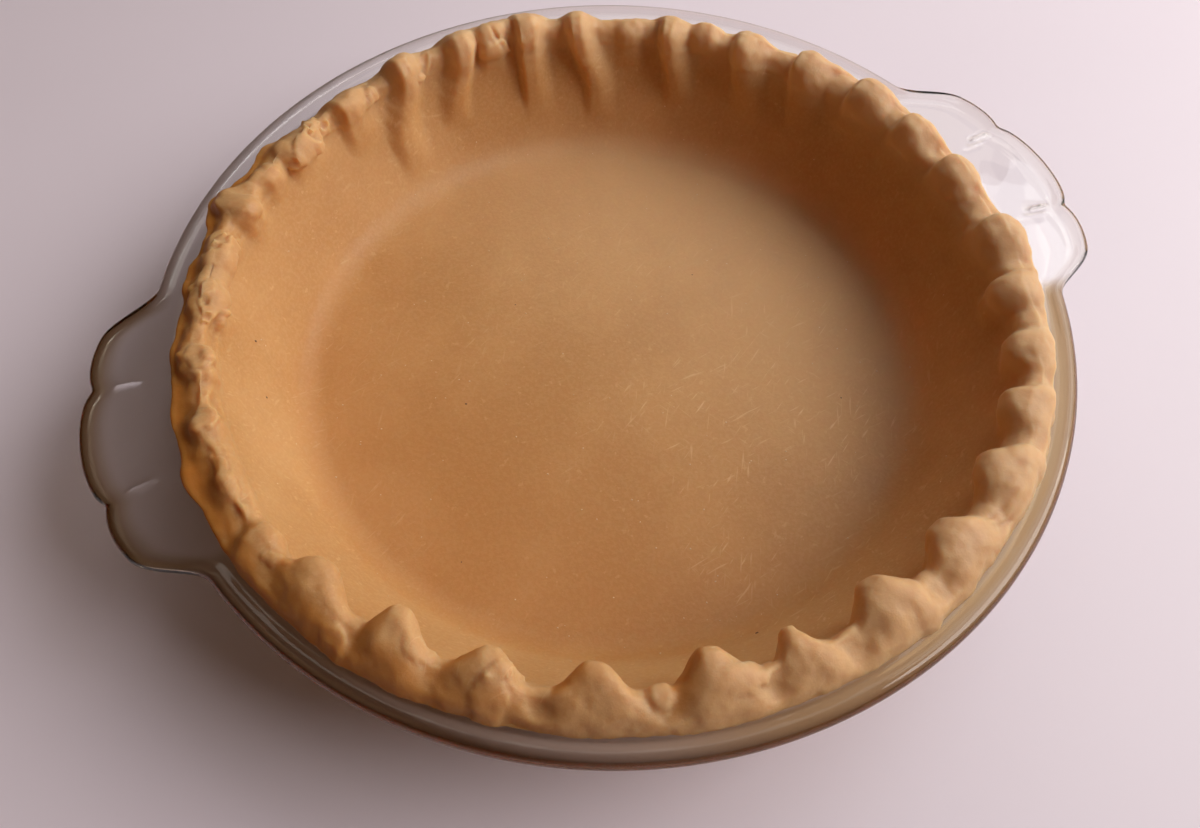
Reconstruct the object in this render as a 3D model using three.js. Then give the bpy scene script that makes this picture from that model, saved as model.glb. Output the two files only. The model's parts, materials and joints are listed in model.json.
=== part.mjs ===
// Unbaked pie crust in its glass dish: a rolled sheet of short pastry lines a round glass pie dish with two
// scalloped handles, and its edge is folded over the flange and pinched into uneven flutes.
// Millimetres, +Z up. The origin is on the table at the middle of the dish; the handles point along X.
import * as THREE from 'three';

// ---- Driving dimensions of the dish ----
const RIM_RADIUS = 127;
const DISH_HEIGHT = 44;
const GLASS_WALL = 5;
const FLOOR_RADIUS = 86.8;          // where the flat floor ends and the cove begins
const COVE_RADIUS = 14;             // inside cove between floor and wall
const WALL_LEAN = 28.2;             // degrees of the wall from the vertical
const FLANGE_DROP = 1;              // the flange lies this far below the bead round its edge
const FLANGE_INNER = 117.4;         // where the flange's flat top begins
const BEAD_WIDTH = 5;
const BEAD_DEPTH = 5.4;             // from the top of the bead to its underside
const CORNER_RADIUS = 4;            // the soft corner between wall and flange

// ---- Handles ----
const HANDLE_TIP = 143.7;           // reach of the middle lobe
const HANDLE_SIDE = 141.2;          // reach of the lobes beside it
const HANDLE_NOTCH = 139.9;         // reach of the notches between lobes
const NOTCH_ANGLE = 6.95;
const SIDE_LOBE_ANGLE = 9.8;
const HANDLE_SHOULDER = 13.8;       // where the outline starts to run down to the rim
const HANDLE_END = 21;
const RIB_RISE = 0.9;               // the short rib that runs in from each notch
const RIB_INNER = 129;

// ---- Pastry ----
const FIT_GAP = 0.3;                // between pastry and glass
const DOUGH = 3.5;                  // thickness of the rolled sheet
const EDGE_RADIUS = 120.8;          // where the pastry's edge ends on the flange
const EDGE_THICKNESS = 2.9;
const CREST_RADIUS = 113.2;         // the crest between two flutes, where a finger pushed it out
const SADDLE_RISE = 4.6;            // height of that crest above the rim
const RIDGE_DEPTH = 15;             // how far down the wall a flute's ridge fades out
const OVERHANG = 1.6;               // how far a flute's tip leans in over its own foot
const SADDLE_PLACE = 0.42;          // the saddle's place between one flute and the next
const TIP_WIDTH = 0.2;              // the share of each flank that stays at the tip's full height

// The flutes, in order round the edge: [angle, rise above the rim, reach inwards, lean of the outer end].
// Each was pinched by hand, so no two are alike, and the left side is lower and torn.
const FLUTES = [
  [2, 9.5, 5.0, -2], [10.5, 7.5, 5.0, -2], [20, 8.5, 5.2, -2], [33, 9.5, 6.0, -2],
  [44.5, 8.5, 6.5, -2], [57.5, 8.8, 6.8, 1.5], [65.5, 5.6, 4.2, 0.5], [73, 9.8, 7.2, 2],
  [83.5, 9.2, 6.8, 1.5], [89.5, 6.6, 5.4, 0], [95, 8.4, 6.4, 0.5], [105, 7.4, 6.4, 2],
  [113, 6.2, 5.8, 3], [122, 6.2, 6.2, 3], [131, 4.8, 4.6, 3], [140, 4.6, 4.2, 2],
  [148.5, 5.6, 4.6, 2], [158, 5.0, 4.2, 1], [168, 5.4, 5.2, 1], [177, 5.2, 5.0, 0],
  [187, 5.6, 5.0, 1], [199.5, 6.0, 4.6, 2], [210.7, 8.0, 6.6, 4], [222.2, 8.6, 7.4, 5],
  [234.7, 8.0, 7.0, 4.5], [246.6, 8.4, 7.2, 2], [253.8, 5.8, 2.8, 0], [259.7, 8.6, 7.8, 3.2],
  [270, 7.8, 6.8, 3.2], [281, 8.6, 7.6, 3.2], [292.8, 8.4, 7.6, 3.2], [304.8, 8.2, 7.4, 3.2],
  [316.1, 7.6, 6.6, 3.2], [324.8, 6.8, 5.8, 3.2], [336.5, 7.2, 6.6, 1.5], [349, 8.6, 5.8, -1.5],
];

// ---- Small helpers ----
const radians = (degrees) => degrees * Math.PI / 180;
const mix = (a, b, t) => a + (b - a) * t;
const smooth = (t) => t * t * (3 - 2 * t);
const clamp01 = (t) => Math.min(1, Math.max(0, t));

/** Points of an arc round (r, z), from one angle to another in degrees, in equal steps. */
function arc(r, z, radius, from, to, steps) {
  return Array.from({ length: steps + 1 }, (_, i) => {
    const a = radians(mix(from, to, i / steps));
    return [r + radius * Math.cos(a), z + radius * Math.sin(a)];
  });
}

/**
 * A closed solid from columns of [r, z] points, one column for each angle. A column starts on the axis at
 * the bottom, runs out round the section and back to the axis at the top; turn() may swing a point sideways.
 */
function solidOfColumns(angles, columnAt, turnAt = () => 0) {
  const columns = angles.map((angle) => columnAt(angle));
  const rings = columns[0].length - 2;
  const positions = [];
  columns.forEach((column, c) => {
    for (let k = 1; k <= rings; k += 1) {
      const [r, z] = column[k];
      const a = radians(angles[c] + turnAt(angles[c], k));
      positions.push(r * Math.cos(a), r * Math.sin(a), z);
    }
  });
  const bottom = positions.length / 3;
  positions.push(0, 0, columns[0][0][1]);
  const top = bottom + 1;
  positions.push(0, 0, columns[0][rings + 1][1]);

  const index = [];
  for (let c = 0; c < columns.length; c += 1) {
    const here = c * rings;
    const next = ((c + 1) % columns.length) * rings;
    index.push(bottom, next, here);
    for (let k = 0; k < rings - 1; k += 1) {
      index.push(here + k, next + k, next + k + 1);
      index.push(here + k, next + k + 1, here + k + 1);
    }
    index.push(top, here + rings - 1, next + rings - 1);
  }
  const geometry = new THREE.BufferGeometry();
  geometry.setAttribute('position', new THREE.Float32BufferAttribute(positions, 3));
  geometry.setIndex(index);
  geometry.computeVertexNormals();
  return geometry;
}

// ---- The dish's section ----
const FLANGE_TOP = DISH_HEIGHT - FLANGE_DROP;
const COVE_CENTRE = { r: FLOOR_RADIUS, z: GLASS_WALL + COVE_RADIUS };
const WALL_NORMAL = -WALL_LEAN;     // direction from the cove's centre to where the wall begins
const WALL_SLOPE = Math.tan(radians(WALL_LEAN));

/** Radius of the glass wall's inner face at height z, moved inwards or outwards by offset. */
function wallRadius(z, offset = 0) {
  const reach = COVE_RADIUS + offset;
  const r0 = COVE_CENTRE.r + reach * Math.cos(radians(WALL_NORMAL));
  const z0 = COVE_CENTRE.z + reach * Math.sin(radians(WALL_NORMAL));
  return r0 + (z - z0) * WALL_SLOPE;
}

/** The dish's outline seen from above: a round rim with a three-lobed handle at each end of X. */
function outlineRadius(angle) {
  const turn = Math.abs(((angle % 180) + 180) % 180);
  const a = Math.min(turn, 180 - turn);
  if (a >= HANDLE_END) return RIM_RADIUS;
  if (a <= NOTCH_ANGLE) {
    return mix(HANDLE_NOTCH, HANDLE_TIP, Math.sqrt(1 - (a / NOTCH_ANGLE) ** 2));
  }
  if (a <= SIDE_LOBE_ANGLE) {
    const t = (a - NOTCH_ANGLE) / (SIDE_LOBE_ANGLE - NOTCH_ANGLE);
    return mix(HANDLE_NOTCH, HANDLE_SIDE, Math.sin(t * Math.PI / 2));
  }
  if (a <= HANDLE_SHOULDER) {
    const t = (a - SIDE_LOBE_ANGLE) / (HANDLE_SHOULDER - SIDE_LOBE_ANGLE);
    return HANDLE_SIDE - 1.4 * t * t;
  }
  const t = (a - HANDLE_SHOULDER) / (HANDLE_END - HANDLE_SHOULDER);
  return mix(HANDLE_SIDE - 1.4, RIM_RADIUS, smooth(t) * 0.8 + t * 0.2);
}

/** How much of the rib between two lobes lies at this angle, from 0 to 1. */
function ribShare(angle) {
  const turn = Math.abs(((angle % 180) + 180) % 180);
  const a = Math.min(turn, 180 - turn);
  return clamp01(1 - Math.abs(a - NOTCH_ANGLE) / 1.3);
}

/** One column of the dish, from the middle of its underside out round the rim and back to its floor. */
function dishColumn(angle) {
  const out = outlineRadius(angle);
  const rib = RIB_RISE * ribShare(angle);
  const under = DISH_HEIGHT - BEAD_DEPTH;
  const outerCove = arc(COVE_CENTRE.r, COVE_CENTRE.z, COVE_RADIUS + GLASS_WALL, -90, WALL_NORMAL, 2);
  const innerCove = arc(COVE_CENTRE.r, COVE_CENTRE.z, COVE_RADIUS, WALL_NORMAL, -90, 3);
  const ribFoot = Math.min(RIB_INNER, mix(FLANGE_INNER, out - BEAD_WIDTH, 0.6));
  return [
    [0, 0],
    ...outerCove,
    [wallRadius(under, GLASS_WALL), under],
    [out - 1.6, under],
    [out, DISH_HEIGHT - BEAD_DEPTH * 0.5],
    [out - 0.9, DISH_HEIGHT - 0.8],
    [out - BEAD_WIDTH * 0.5, DISH_HEIGHT],
    [out - BEAD_WIDTH, FLANGE_TOP + rib],
    [ribFoot, FLANGE_TOP + rib * 0.7],
    [FLANGE_INNER, FLANGE_TOP],
    [wallRadius(FLANGE_TOP - CORNER_RADIUS * 0.5), FLANGE_TOP - CORNER_RADIUS * 0.5],
    ...innerCove,
    [0, GLASS_WALL],
  ];
}

/** Angles of the dish's columns: close together on the handles, and one on each notch. */
function dishAngles() {
  const side = [];
  const lobeStep = NOTCH_ANGLE / 4;
  for (let a = 0; a < HANDLE_END + lobeStep; a += lobeStep) side.push(a);
  const plain = Math.round((90 - side.at(-1)) / 5.5);
  const step = (90 - side.at(-1)) / plain;
  const quarter = [...side];
  for (let i = 1; i <= plain; i += 1) quarter.push(side.at(-1) + i * step);
  const half = [...quarter, ...quarter.slice(1, -1).reverse().map((a) => 180 - a)];
  return [...half, ...half.map((a) => a + 180)];
}

// ---- The pastry's flutes ----
const flutes = FLUTES.map(([angle, rise, reach, lean]) => ({ angle, rise, reach, lean }));

/** The flute before this angle, the one after it, and how far the angle is between them, from 0 to 1. */
function neighbours(angle) {
  const a = ((angle % 360) + 360) % 360;
  let after = flutes.findIndex((flute) => flute.angle > a);
  if (after < 0) after = 0;
  const before = (after + flutes.length - 1) % flutes.length;
  const span = ((flutes[after].angle - flutes[before].angle) % 360 + 360) % 360;
  const along = ((a - flutes[before].angle) % 360 + 360) % 360;
  return { before: flutes[before], after: flutes[after], t: along / span };
}

/** The crest's state at an angle: its rise, its reach inwards and the lean of its outer end. */
function crestAt(angle) {
  const { before, after, t } = neighbours(angle);
  const near = t < SADDLE_PLACE ? before : after;
  const away = t < SADDLE_PLACE ? t / SADDLE_PLACE : (1 - t) / (1 - SADDLE_PLACE);
  const share = smooth(clamp01((1 - away) / (1 - TIP_WIDTH)));
  return {
    share,
    rise: mix(SADDLE_RISE, near.rise, share),
    reach: near.reach * share,
    lean: mix(before.lean, after.lean, t),
  };
}

/** One column of the pastry: along the glass, out over the flange, up to the crest and down inside. */
function pastryColumn(angle) {
  const crest = crestAt(angle);
  const sit = -FIT_GAP;
  const face = -(FIT_GAP + DOUGH);
  const crestR = CREST_RADIUS - crest.reach;
  const crestZ = DISH_HEIGHT + crest.rise;
  const edgeZ = FLANGE_TOP + FIT_GAP;
  const under = arc(COVE_CENTRE.r, COVE_CENTRE.z, COVE_RADIUS + sit, -90, WALL_NORMAL, 2);
  const inside = arc(COVE_CENTRE.r, COVE_CENTRE.z, COVE_RADIUS + face, WALL_NORMAL, -90, 3);
  const cornerZ = FLANGE_TOP - CORNER_RADIUS * 0.5 + FIT_GAP;
  const ridge = (z) => crest.reach * clamp01(1 - (FLANGE_TOP - z) / RIDGE_DEPTH) ** 1.5;
  const inner = (z, more = 0) => wallRadius(z, face) - ridge(z) * 0.62 - more;
  const lipZ = mix(DISH_HEIGHT, crestZ, 0.45);
  return [
    [0, GLASS_WALL + FIT_GAP],
    ...under,
    [wallRadius(cornerZ, sit), cornerZ],
    [FLANGE_INNER, edgeZ],
    [EDGE_RADIUS - 0.4, edgeZ],
    [EDGE_RADIUS, edgeZ + EDGE_THICKNESS * 0.5],
    [EDGE_RADIUS - 1, edgeZ + EDGE_THICKNESS],
    [mix(EDGE_RADIUS, crestR, 0.5), mix(edgeZ + EDGE_THICKNESS, crestZ, mix(0.35, 0.62, crest.share))],
    [crestR + 1.9, crestZ - 0.8],
    [crestR, crestZ],
    [crestR - 1.2, crestZ - 1.4],
    [Math.min(crestR - 0.4, inner(lipZ) - OVERHANG * crest.share), lipZ],
    [inner(FLANGE_TOP - 3), FLANGE_TOP - 3],
    [inner(FLANGE_TOP - 9), FLANGE_TOP - 9],
    [inner(FLANGE_TOP - 18), FLANGE_TOP - 18],
    ...inside,
    [0, GLASS_WALL + FIT_GAP + DOUGH],
  ];
}

/** Four columns for each flute: two on its blunt tip, one in the saddle, and one on the longer flank. */
function pastryAngles() {
  const tipEdge = TIP_WIDTH * SADDLE_PLACE;
  const flank = mix(SADDLE_PLACE, 1, 0.45);
  const tipStart = 1 - TIP_WIDTH * (1 - SADDLE_PLACE);
  return flutes.flatMap((flute, i) => {
    const next = flutes[(i + 1) % flutes.length];
    const span = ((next.angle - flute.angle) % 360 + 360) % 360;
    return [tipEdge, SADDLE_PLACE, flank, tipStart].map((t) => flute.angle + span * t);
  });
}

/** Swings the outer slope sideways, so that each ridge runs out to the edge at its own slant. */
function pastryTurn(angle, ring) {
  const slope = { 6: 1, 7: 1, 8: 1, 9: 0.55, 10: 0.15 };
  return crestAt(angle).lean * (slope[ring] ?? 0);
}

// ---- Meshes ----
function mesh(name, geometry, material) {
  const made = new THREE.Mesh(geometry, material);
  made.name = name;
  return made;
}

const glass = new THREE.MeshStandardMaterial({ color: 0xe6e4e0, roughness: 0.05, metalness: 0 });
glass.transparent = true;
glass.opacity = 0.35;
const pastry = new THREE.MeshStandardMaterial({ color: 0xe2b887, roughness: 0.7, metalness: 0 });

const dish = mesh('glass_dish', solidOfColumns(dishAngles(), dishColumn), glass);
const shell = mesh('pastry_shell', solidOfColumns(pastryAngles(), pastryColumn, pastryTurn), pastry);

const pieCrust = new THREE.Group();
pieCrust.add(dish, shell);

export default pieCrust;
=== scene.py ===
"""An unbaked pie crust in its clear glass pie dish.

A rolled sheet of raw pastry lines a round glass dish with two three-lobed handles. The edge of the sheet
is folded over the dish's flange and pinched into uneven flutes, which are lower and torn on the left.
Sizes are in millimetres until a mesh is made, and metres from there on.
"""

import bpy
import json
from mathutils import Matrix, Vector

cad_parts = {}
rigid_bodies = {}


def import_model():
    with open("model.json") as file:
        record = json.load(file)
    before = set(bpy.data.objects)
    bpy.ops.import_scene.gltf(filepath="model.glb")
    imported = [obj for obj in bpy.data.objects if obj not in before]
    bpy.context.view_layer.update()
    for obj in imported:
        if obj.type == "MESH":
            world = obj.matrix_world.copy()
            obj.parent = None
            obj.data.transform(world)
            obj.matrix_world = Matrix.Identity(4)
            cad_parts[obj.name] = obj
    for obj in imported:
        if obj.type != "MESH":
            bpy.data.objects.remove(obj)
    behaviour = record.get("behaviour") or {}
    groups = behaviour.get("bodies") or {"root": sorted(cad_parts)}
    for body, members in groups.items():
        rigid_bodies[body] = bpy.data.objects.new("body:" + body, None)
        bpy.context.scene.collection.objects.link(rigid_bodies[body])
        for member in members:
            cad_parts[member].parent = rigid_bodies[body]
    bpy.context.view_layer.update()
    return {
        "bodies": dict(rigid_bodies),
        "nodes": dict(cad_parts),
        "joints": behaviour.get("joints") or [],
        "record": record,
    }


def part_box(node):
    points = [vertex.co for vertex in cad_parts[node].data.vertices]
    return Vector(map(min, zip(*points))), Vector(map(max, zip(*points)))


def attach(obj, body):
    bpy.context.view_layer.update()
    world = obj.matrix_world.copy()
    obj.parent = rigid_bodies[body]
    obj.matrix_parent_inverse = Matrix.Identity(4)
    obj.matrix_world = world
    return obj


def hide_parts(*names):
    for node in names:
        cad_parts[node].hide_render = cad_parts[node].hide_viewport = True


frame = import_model()

import json
import logging
import math
from dataclasses import astuple, dataclass
from enum import Enum

import bpy
import numpy as np
from mathutils import Matrix, Vector

LOG = logging.getLogger("pie_crust")
MM = 0.001
BODY = "root"
SECTORS = 8         # a blank is turned as one sector, which is then copied round
WELD = 0.004        # points closer than this are one, in millimetres
HAIR = 0.02         # a difference in height that counts as none, in millimetres
SHARP = 60          # edges sharper than this stay sharp, in degrees
SAMPLES = 9         # how many places a rounded outline is averaged over
Piece = bpy.types.Object
Node = bpy.types.Node
Socket = bpy.types.NodeSocket
Array = np.ndarray
Point = tuple[float, float]
Pair = tuple[float, float]
Triple = tuple[float, float, float]
Colour = tuple[float, float, float]
Range = tuple[float, float, float, float]


class Slot(Enum):
    """The record's material slots."""

    GLASS = "glass"
    PASTRY = "pastry"


# ---- Modelling moves ----


class Bench:
    """The modelling moves that several pieces share."""

    @staticmethod
    def clear() -> None:
        """Leaves edit mode and deselects every object."""
        if bpy.context.object and bpy.context.object.mode != "OBJECT":
            bpy.ops.object.mode_set(mode="OBJECT")
        bpy.ops.object.select_all(action="DESELECT")

    @staticmethod
    def hold(piece: Piece) -> None:
        """Makes one object the only selected one, and the active one.

        Args:
            piece: The object to work on.
        """
        Bench.clear()
        piece.select_set(True)
        bpy.context.view_layer.objects.active = piece

    @staticmethod
    def lathe(name: str, section: list[Point], steps: int) -> Piece:
        """Turns a section that starts and ends on the axis into a closed round blank.

        Args:
            name: The new object's name.
            section: Radius and height of each point of the section, in millimetres, from the bottom.
            steps: How many columns the turned blank has.

        Returns:
            The blank, with its object at the origin.
        """
        Bench.clear()
        start_r, start_z = section[0]
        bpy.ops.mesh.primitive_plane_add(size=MM, location=(start_r * MM, 0, start_z * MM))
        blank = bpy.context.object
        blank.name = blank.data.name = name
        bpy.ops.object.transform_apply(location=True, rotation=True, scale=True)
        bpy.ops.object.mode_set(mode="EDIT")
        bpy.ops.mesh.select_all(action="SELECT")
        bpy.ops.mesh.merge(type="CENTER")
        for (r0, z0), (r1, z1) in zip(section, section[1:]):
            step = ((r1 - r0) * MM, 0, (z1 - z0) * MM)
            bpy.ops.mesh.extrude_region_move(TRANSFORM_OT_translate={"value": step})
        bpy.ops.mesh.select_all(action="SELECT")
        bpy.ops.mesh.spin(steps=steps // SECTORS, angle=math.tau / SECTORS, center=(0, 0, 0), axis=(0, 0, 1))
        bpy.ops.object.mode_set(mode="OBJECT")
        sectors = [blank]
        for place in range(1, SECTORS):
            Bench.hold(blank)
            bpy.ops.object.duplicate()
            sector = bpy.context.object
            sector.rotation_euler.z = math.tau * place / SECTORS
            bpy.ops.object.transform_apply(location=False, rotation=True, scale=False)
            sectors.append(sector)
        blank = Bench.join(name, sectors)
        bpy.ops.object.mode_set(mode="EDIT")
        bpy.ops.mesh.select_all(action="SELECT")
        bpy.ops.mesh.remove_doubles(threshold=WELD * MM)
        bpy.ops.mesh.normals_make_consistent(inside=False)
        bpy.ops.object.mode_set(mode="OBJECT")
        return blank

    @staticmethod
    def read(piece: Piece, what: str) -> Array:
        """Reads something of every vertex.

        Args:
            piece: The object to read.
            what: What is read, "co" for its place or "normal".

        Returns:
            One row for each vertex.
        """
        flat = np.empty(len(piece.data.vertices) * 3, np.float32)
        piece.data.vertices.foreach_get(what, flat)
        return flat.reshape(-1, 3).astype(float)

    @staticmethod
    def points(piece: Piece) -> Array:
        """Returns the piece's vertices in millimetres, one row each."""
        return Bench.read(piece, "co") / MM

    @staticmethod
    def polar(points: Array) -> tuple[Array, Array]:
        """Returns each point's direction round the dish, from -180 to 180 degrees, and its radius."""
        return np.degrees(np.arctan2(points[:, 1], points[:, 0])), np.hypot(points[:, 0], points[:, 1])

    @staticmethod
    def place(piece: Piece, points: Array) -> None:
        """Moves the piece's vertices to new places in millimetres, one row for each."""
        piece.data.vertices.foreach_set("co", (points * MM).astype(np.float32).ravel())
        piece.data.update()

    @staticmethod
    def note(piece: Piece, name: str, values: Array) -> None:
        """Writes a number on every vertex, which the piece's finish reads by its name."""
        note = piece.data.attributes.new(name, "FLOAT", "POINT")
        note.data.foreach_set("value", values.astype(np.float32))

    @staticmethod
    def soften(piece: Piece) -> None:
        """Shades the piece smooth except over its sharp edges."""
        Bench.hold(piece)
        bpy.ops.object.shade_smooth_by_angle(angle=math.radians(SHARP))

    @staticmethod
    def join(name: str, parts: list[Piece]) -> Piece:
        """Joins several objects into one.

        Args:
            name: The joined object's name.
            parts: The objects to join.

        Returns:
            The joined object, at the origin, unturned and unscaled.
        """
        Bench.clear()
        for part in parts:
            part.select_set(True)
        bpy.context.view_layer.objects.active = parts[0]
        bpy.ops.object.join()
        whole = bpy.context.object
        whole.name = whole.data.name = name
        bpy.ops.object.transform_apply(location=True, rotation=True, scale=True)
        return whole

    @staticmethod
    def hand_over(piece: Piece, slot: Slot, material: bpy.types.Material, *replaced: str) -> None:
        """Gives a finished piece its material, its body and the nodes that it stands for.

        Args:
            piece: The finished object.
            slot: The record's material slot for it; not used.
            material: Its finish.
            replaced: Names of the frame's nodes that it stands for.
        """
        piece.data.materials.clear()
        piece.data.materials.append(material)
        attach(piece, BODY)
        if replaced:
            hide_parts(*replaced)
        faces = sum(len(face.vertices) - 2 for face in piece.data.polygons)
        LOG.info("%s: %d triangles", piece.name, faces)


class Lumps:
    """A smooth uneven field made of many low waves, for rises and hollows with no pattern."""

    SHORTEST = 0.6
    LONGEST = 1.7
    HELD = 0.6

    def __init__(self, wavelength: float, waves: int, seed: int) -> None:
        """Draws the waves.

        Args:
            wavelength: The middle wavelength, in millimetres.
            waves: How many waves are added up.
            seed: Where the random draw starts.
        """
        draw = np.random.default_rng(seed)
        ways = draw.normal(size=(waves, 3))
        ways /= np.linalg.norm(ways, axis=1, keepdims=True)
        lengths = wavelength * draw.uniform(self.SHORTEST, self.LONGEST, size=(waves, 1))
        self.ways = ways * (math.tau / lengths)
        self.starts = draw.uniform(0, math.tau, size=waves)
        self.level = math.sqrt(2 / waves)

    def at(self, points: Array) -> Array:
        """Adds the waves up.

        Args:
            points: Places in millimetres, one row each.

        Returns:
            The field at each point, mostly between -1 and 1.
        """
        total = np.zeros(len(points))
        for way, start in zip(self.ways, self.starts):
            total += np.sin(points @ way + start)
        return total * self.level * self.HELD


def evenly(start: float, end: float, steps: int) -> list[float]:
    """Returns the values from start to end in equal steps, both ends included."""
    return [start + (end - start) * i / steps for i in range(steps + 1)]


def arc(centre: Point, radius: float, start: float, end: float, steps: int) -> list[Point]:
    """Returns an arc's points from one direction in degrees to another in equal steps, both included."""
    turns = [math.radians(turn) for turn in evenly(start, end, steps)]
    return [(centre[0] + radius * math.cos(t), centre[1] + radius * math.sin(t)) for t in turns]


def smooth(t: Array) -> Array:
    """Eases a share from 0 to 1, level at both ends."""
    held = np.clip(t, 0, 1)
    return held * held * (3 - 2 * held)


def risen(value: Array, start: float, run: float) -> Array:
    """Eases from 0 to 1 while a value rises from its start over a run."""
    return smooth((value - start) / run)


def part_way(value: Array, start: float, end: float) -> Array:
    """Returns how far a value has come from start to end, from 0 to 1."""
    return np.clip((value - start) / (end - start), 0, 1)


def facing(degrees: Array, way: float) -> Array:
    """Returns how much each direction faces one way, from 1 for the same way to -1 for the opposite."""
    return np.cos(np.radians(degrees - way))


def apart(degrees: Array, way: float) -> Array:
    """Returns how far each direction lies beyond one way, from -180 to 180 degrees."""
    return (degrees - way + 180) % 360 - 180


# ---- The dish ----


@dataclass
class DishSection:
    """The section of the dish: a flat floor, a round cove, a leaning wall and a flange with a bead."""

    rim_radius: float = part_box("glass_dish")[1].y / MM
    height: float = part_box("glass_dish")[1].z / MM
    wall: float = 5.0
    floor_radius: float = 86.8
    cove: float = 14.0
    lean: float = 28.2
    flange_drop: float = 1.0
    flange_inner: float = 117.4
    corner: float = 4.6
    bead_width: float = 5.0
    bead_depth: float = 5.4

    @property
    def flange_top(self) -> float:
        """Height of the flange's flat top."""
        return self.height - self.flange_drop

    @property
    def cove_centre(self) -> Point:
        """Centre of the cove's arcs."""
        return self.floor_radius, self.wall + self.cove

    def wall_radius(self, z: Array | float, inwards: float = 0.0) -> Array | float:
        """Radius of the wall's inner face.

        Args:
            z: Height above the table.
            inwards: How far the wanted face lies inwards of the glass's inner face.

        Returns:
            The radius at that height.
        """
        reach = self.cove - inwards
        centre_r, centre_z = self.cove_centre
        start_r = centre_r + reach * math.cos(math.radians(self.lean))
        start_z = centre_z - reach * math.sin(math.radians(self.lean))
        return start_r + (z - start_z) * math.tan(math.radians(self.lean))


FILLET = ((0, 0), (0.75, 1.3), (1.6, 2.2), (2.6, 2.8), (3.6, 3.05))
BEAD_SIDE = ((2.4, 0), (1.3, 0.45), (0.5, 1.2), (0.08, 2.1), (0, 2.9), (0.25, 3.8), (0.85, 4.6), (1.6, 5.15))
BEAD_TOP = ((2.4, 0), (3.2, 0.12), (3.9, 0.42), (4.5, 0.75))


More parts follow.
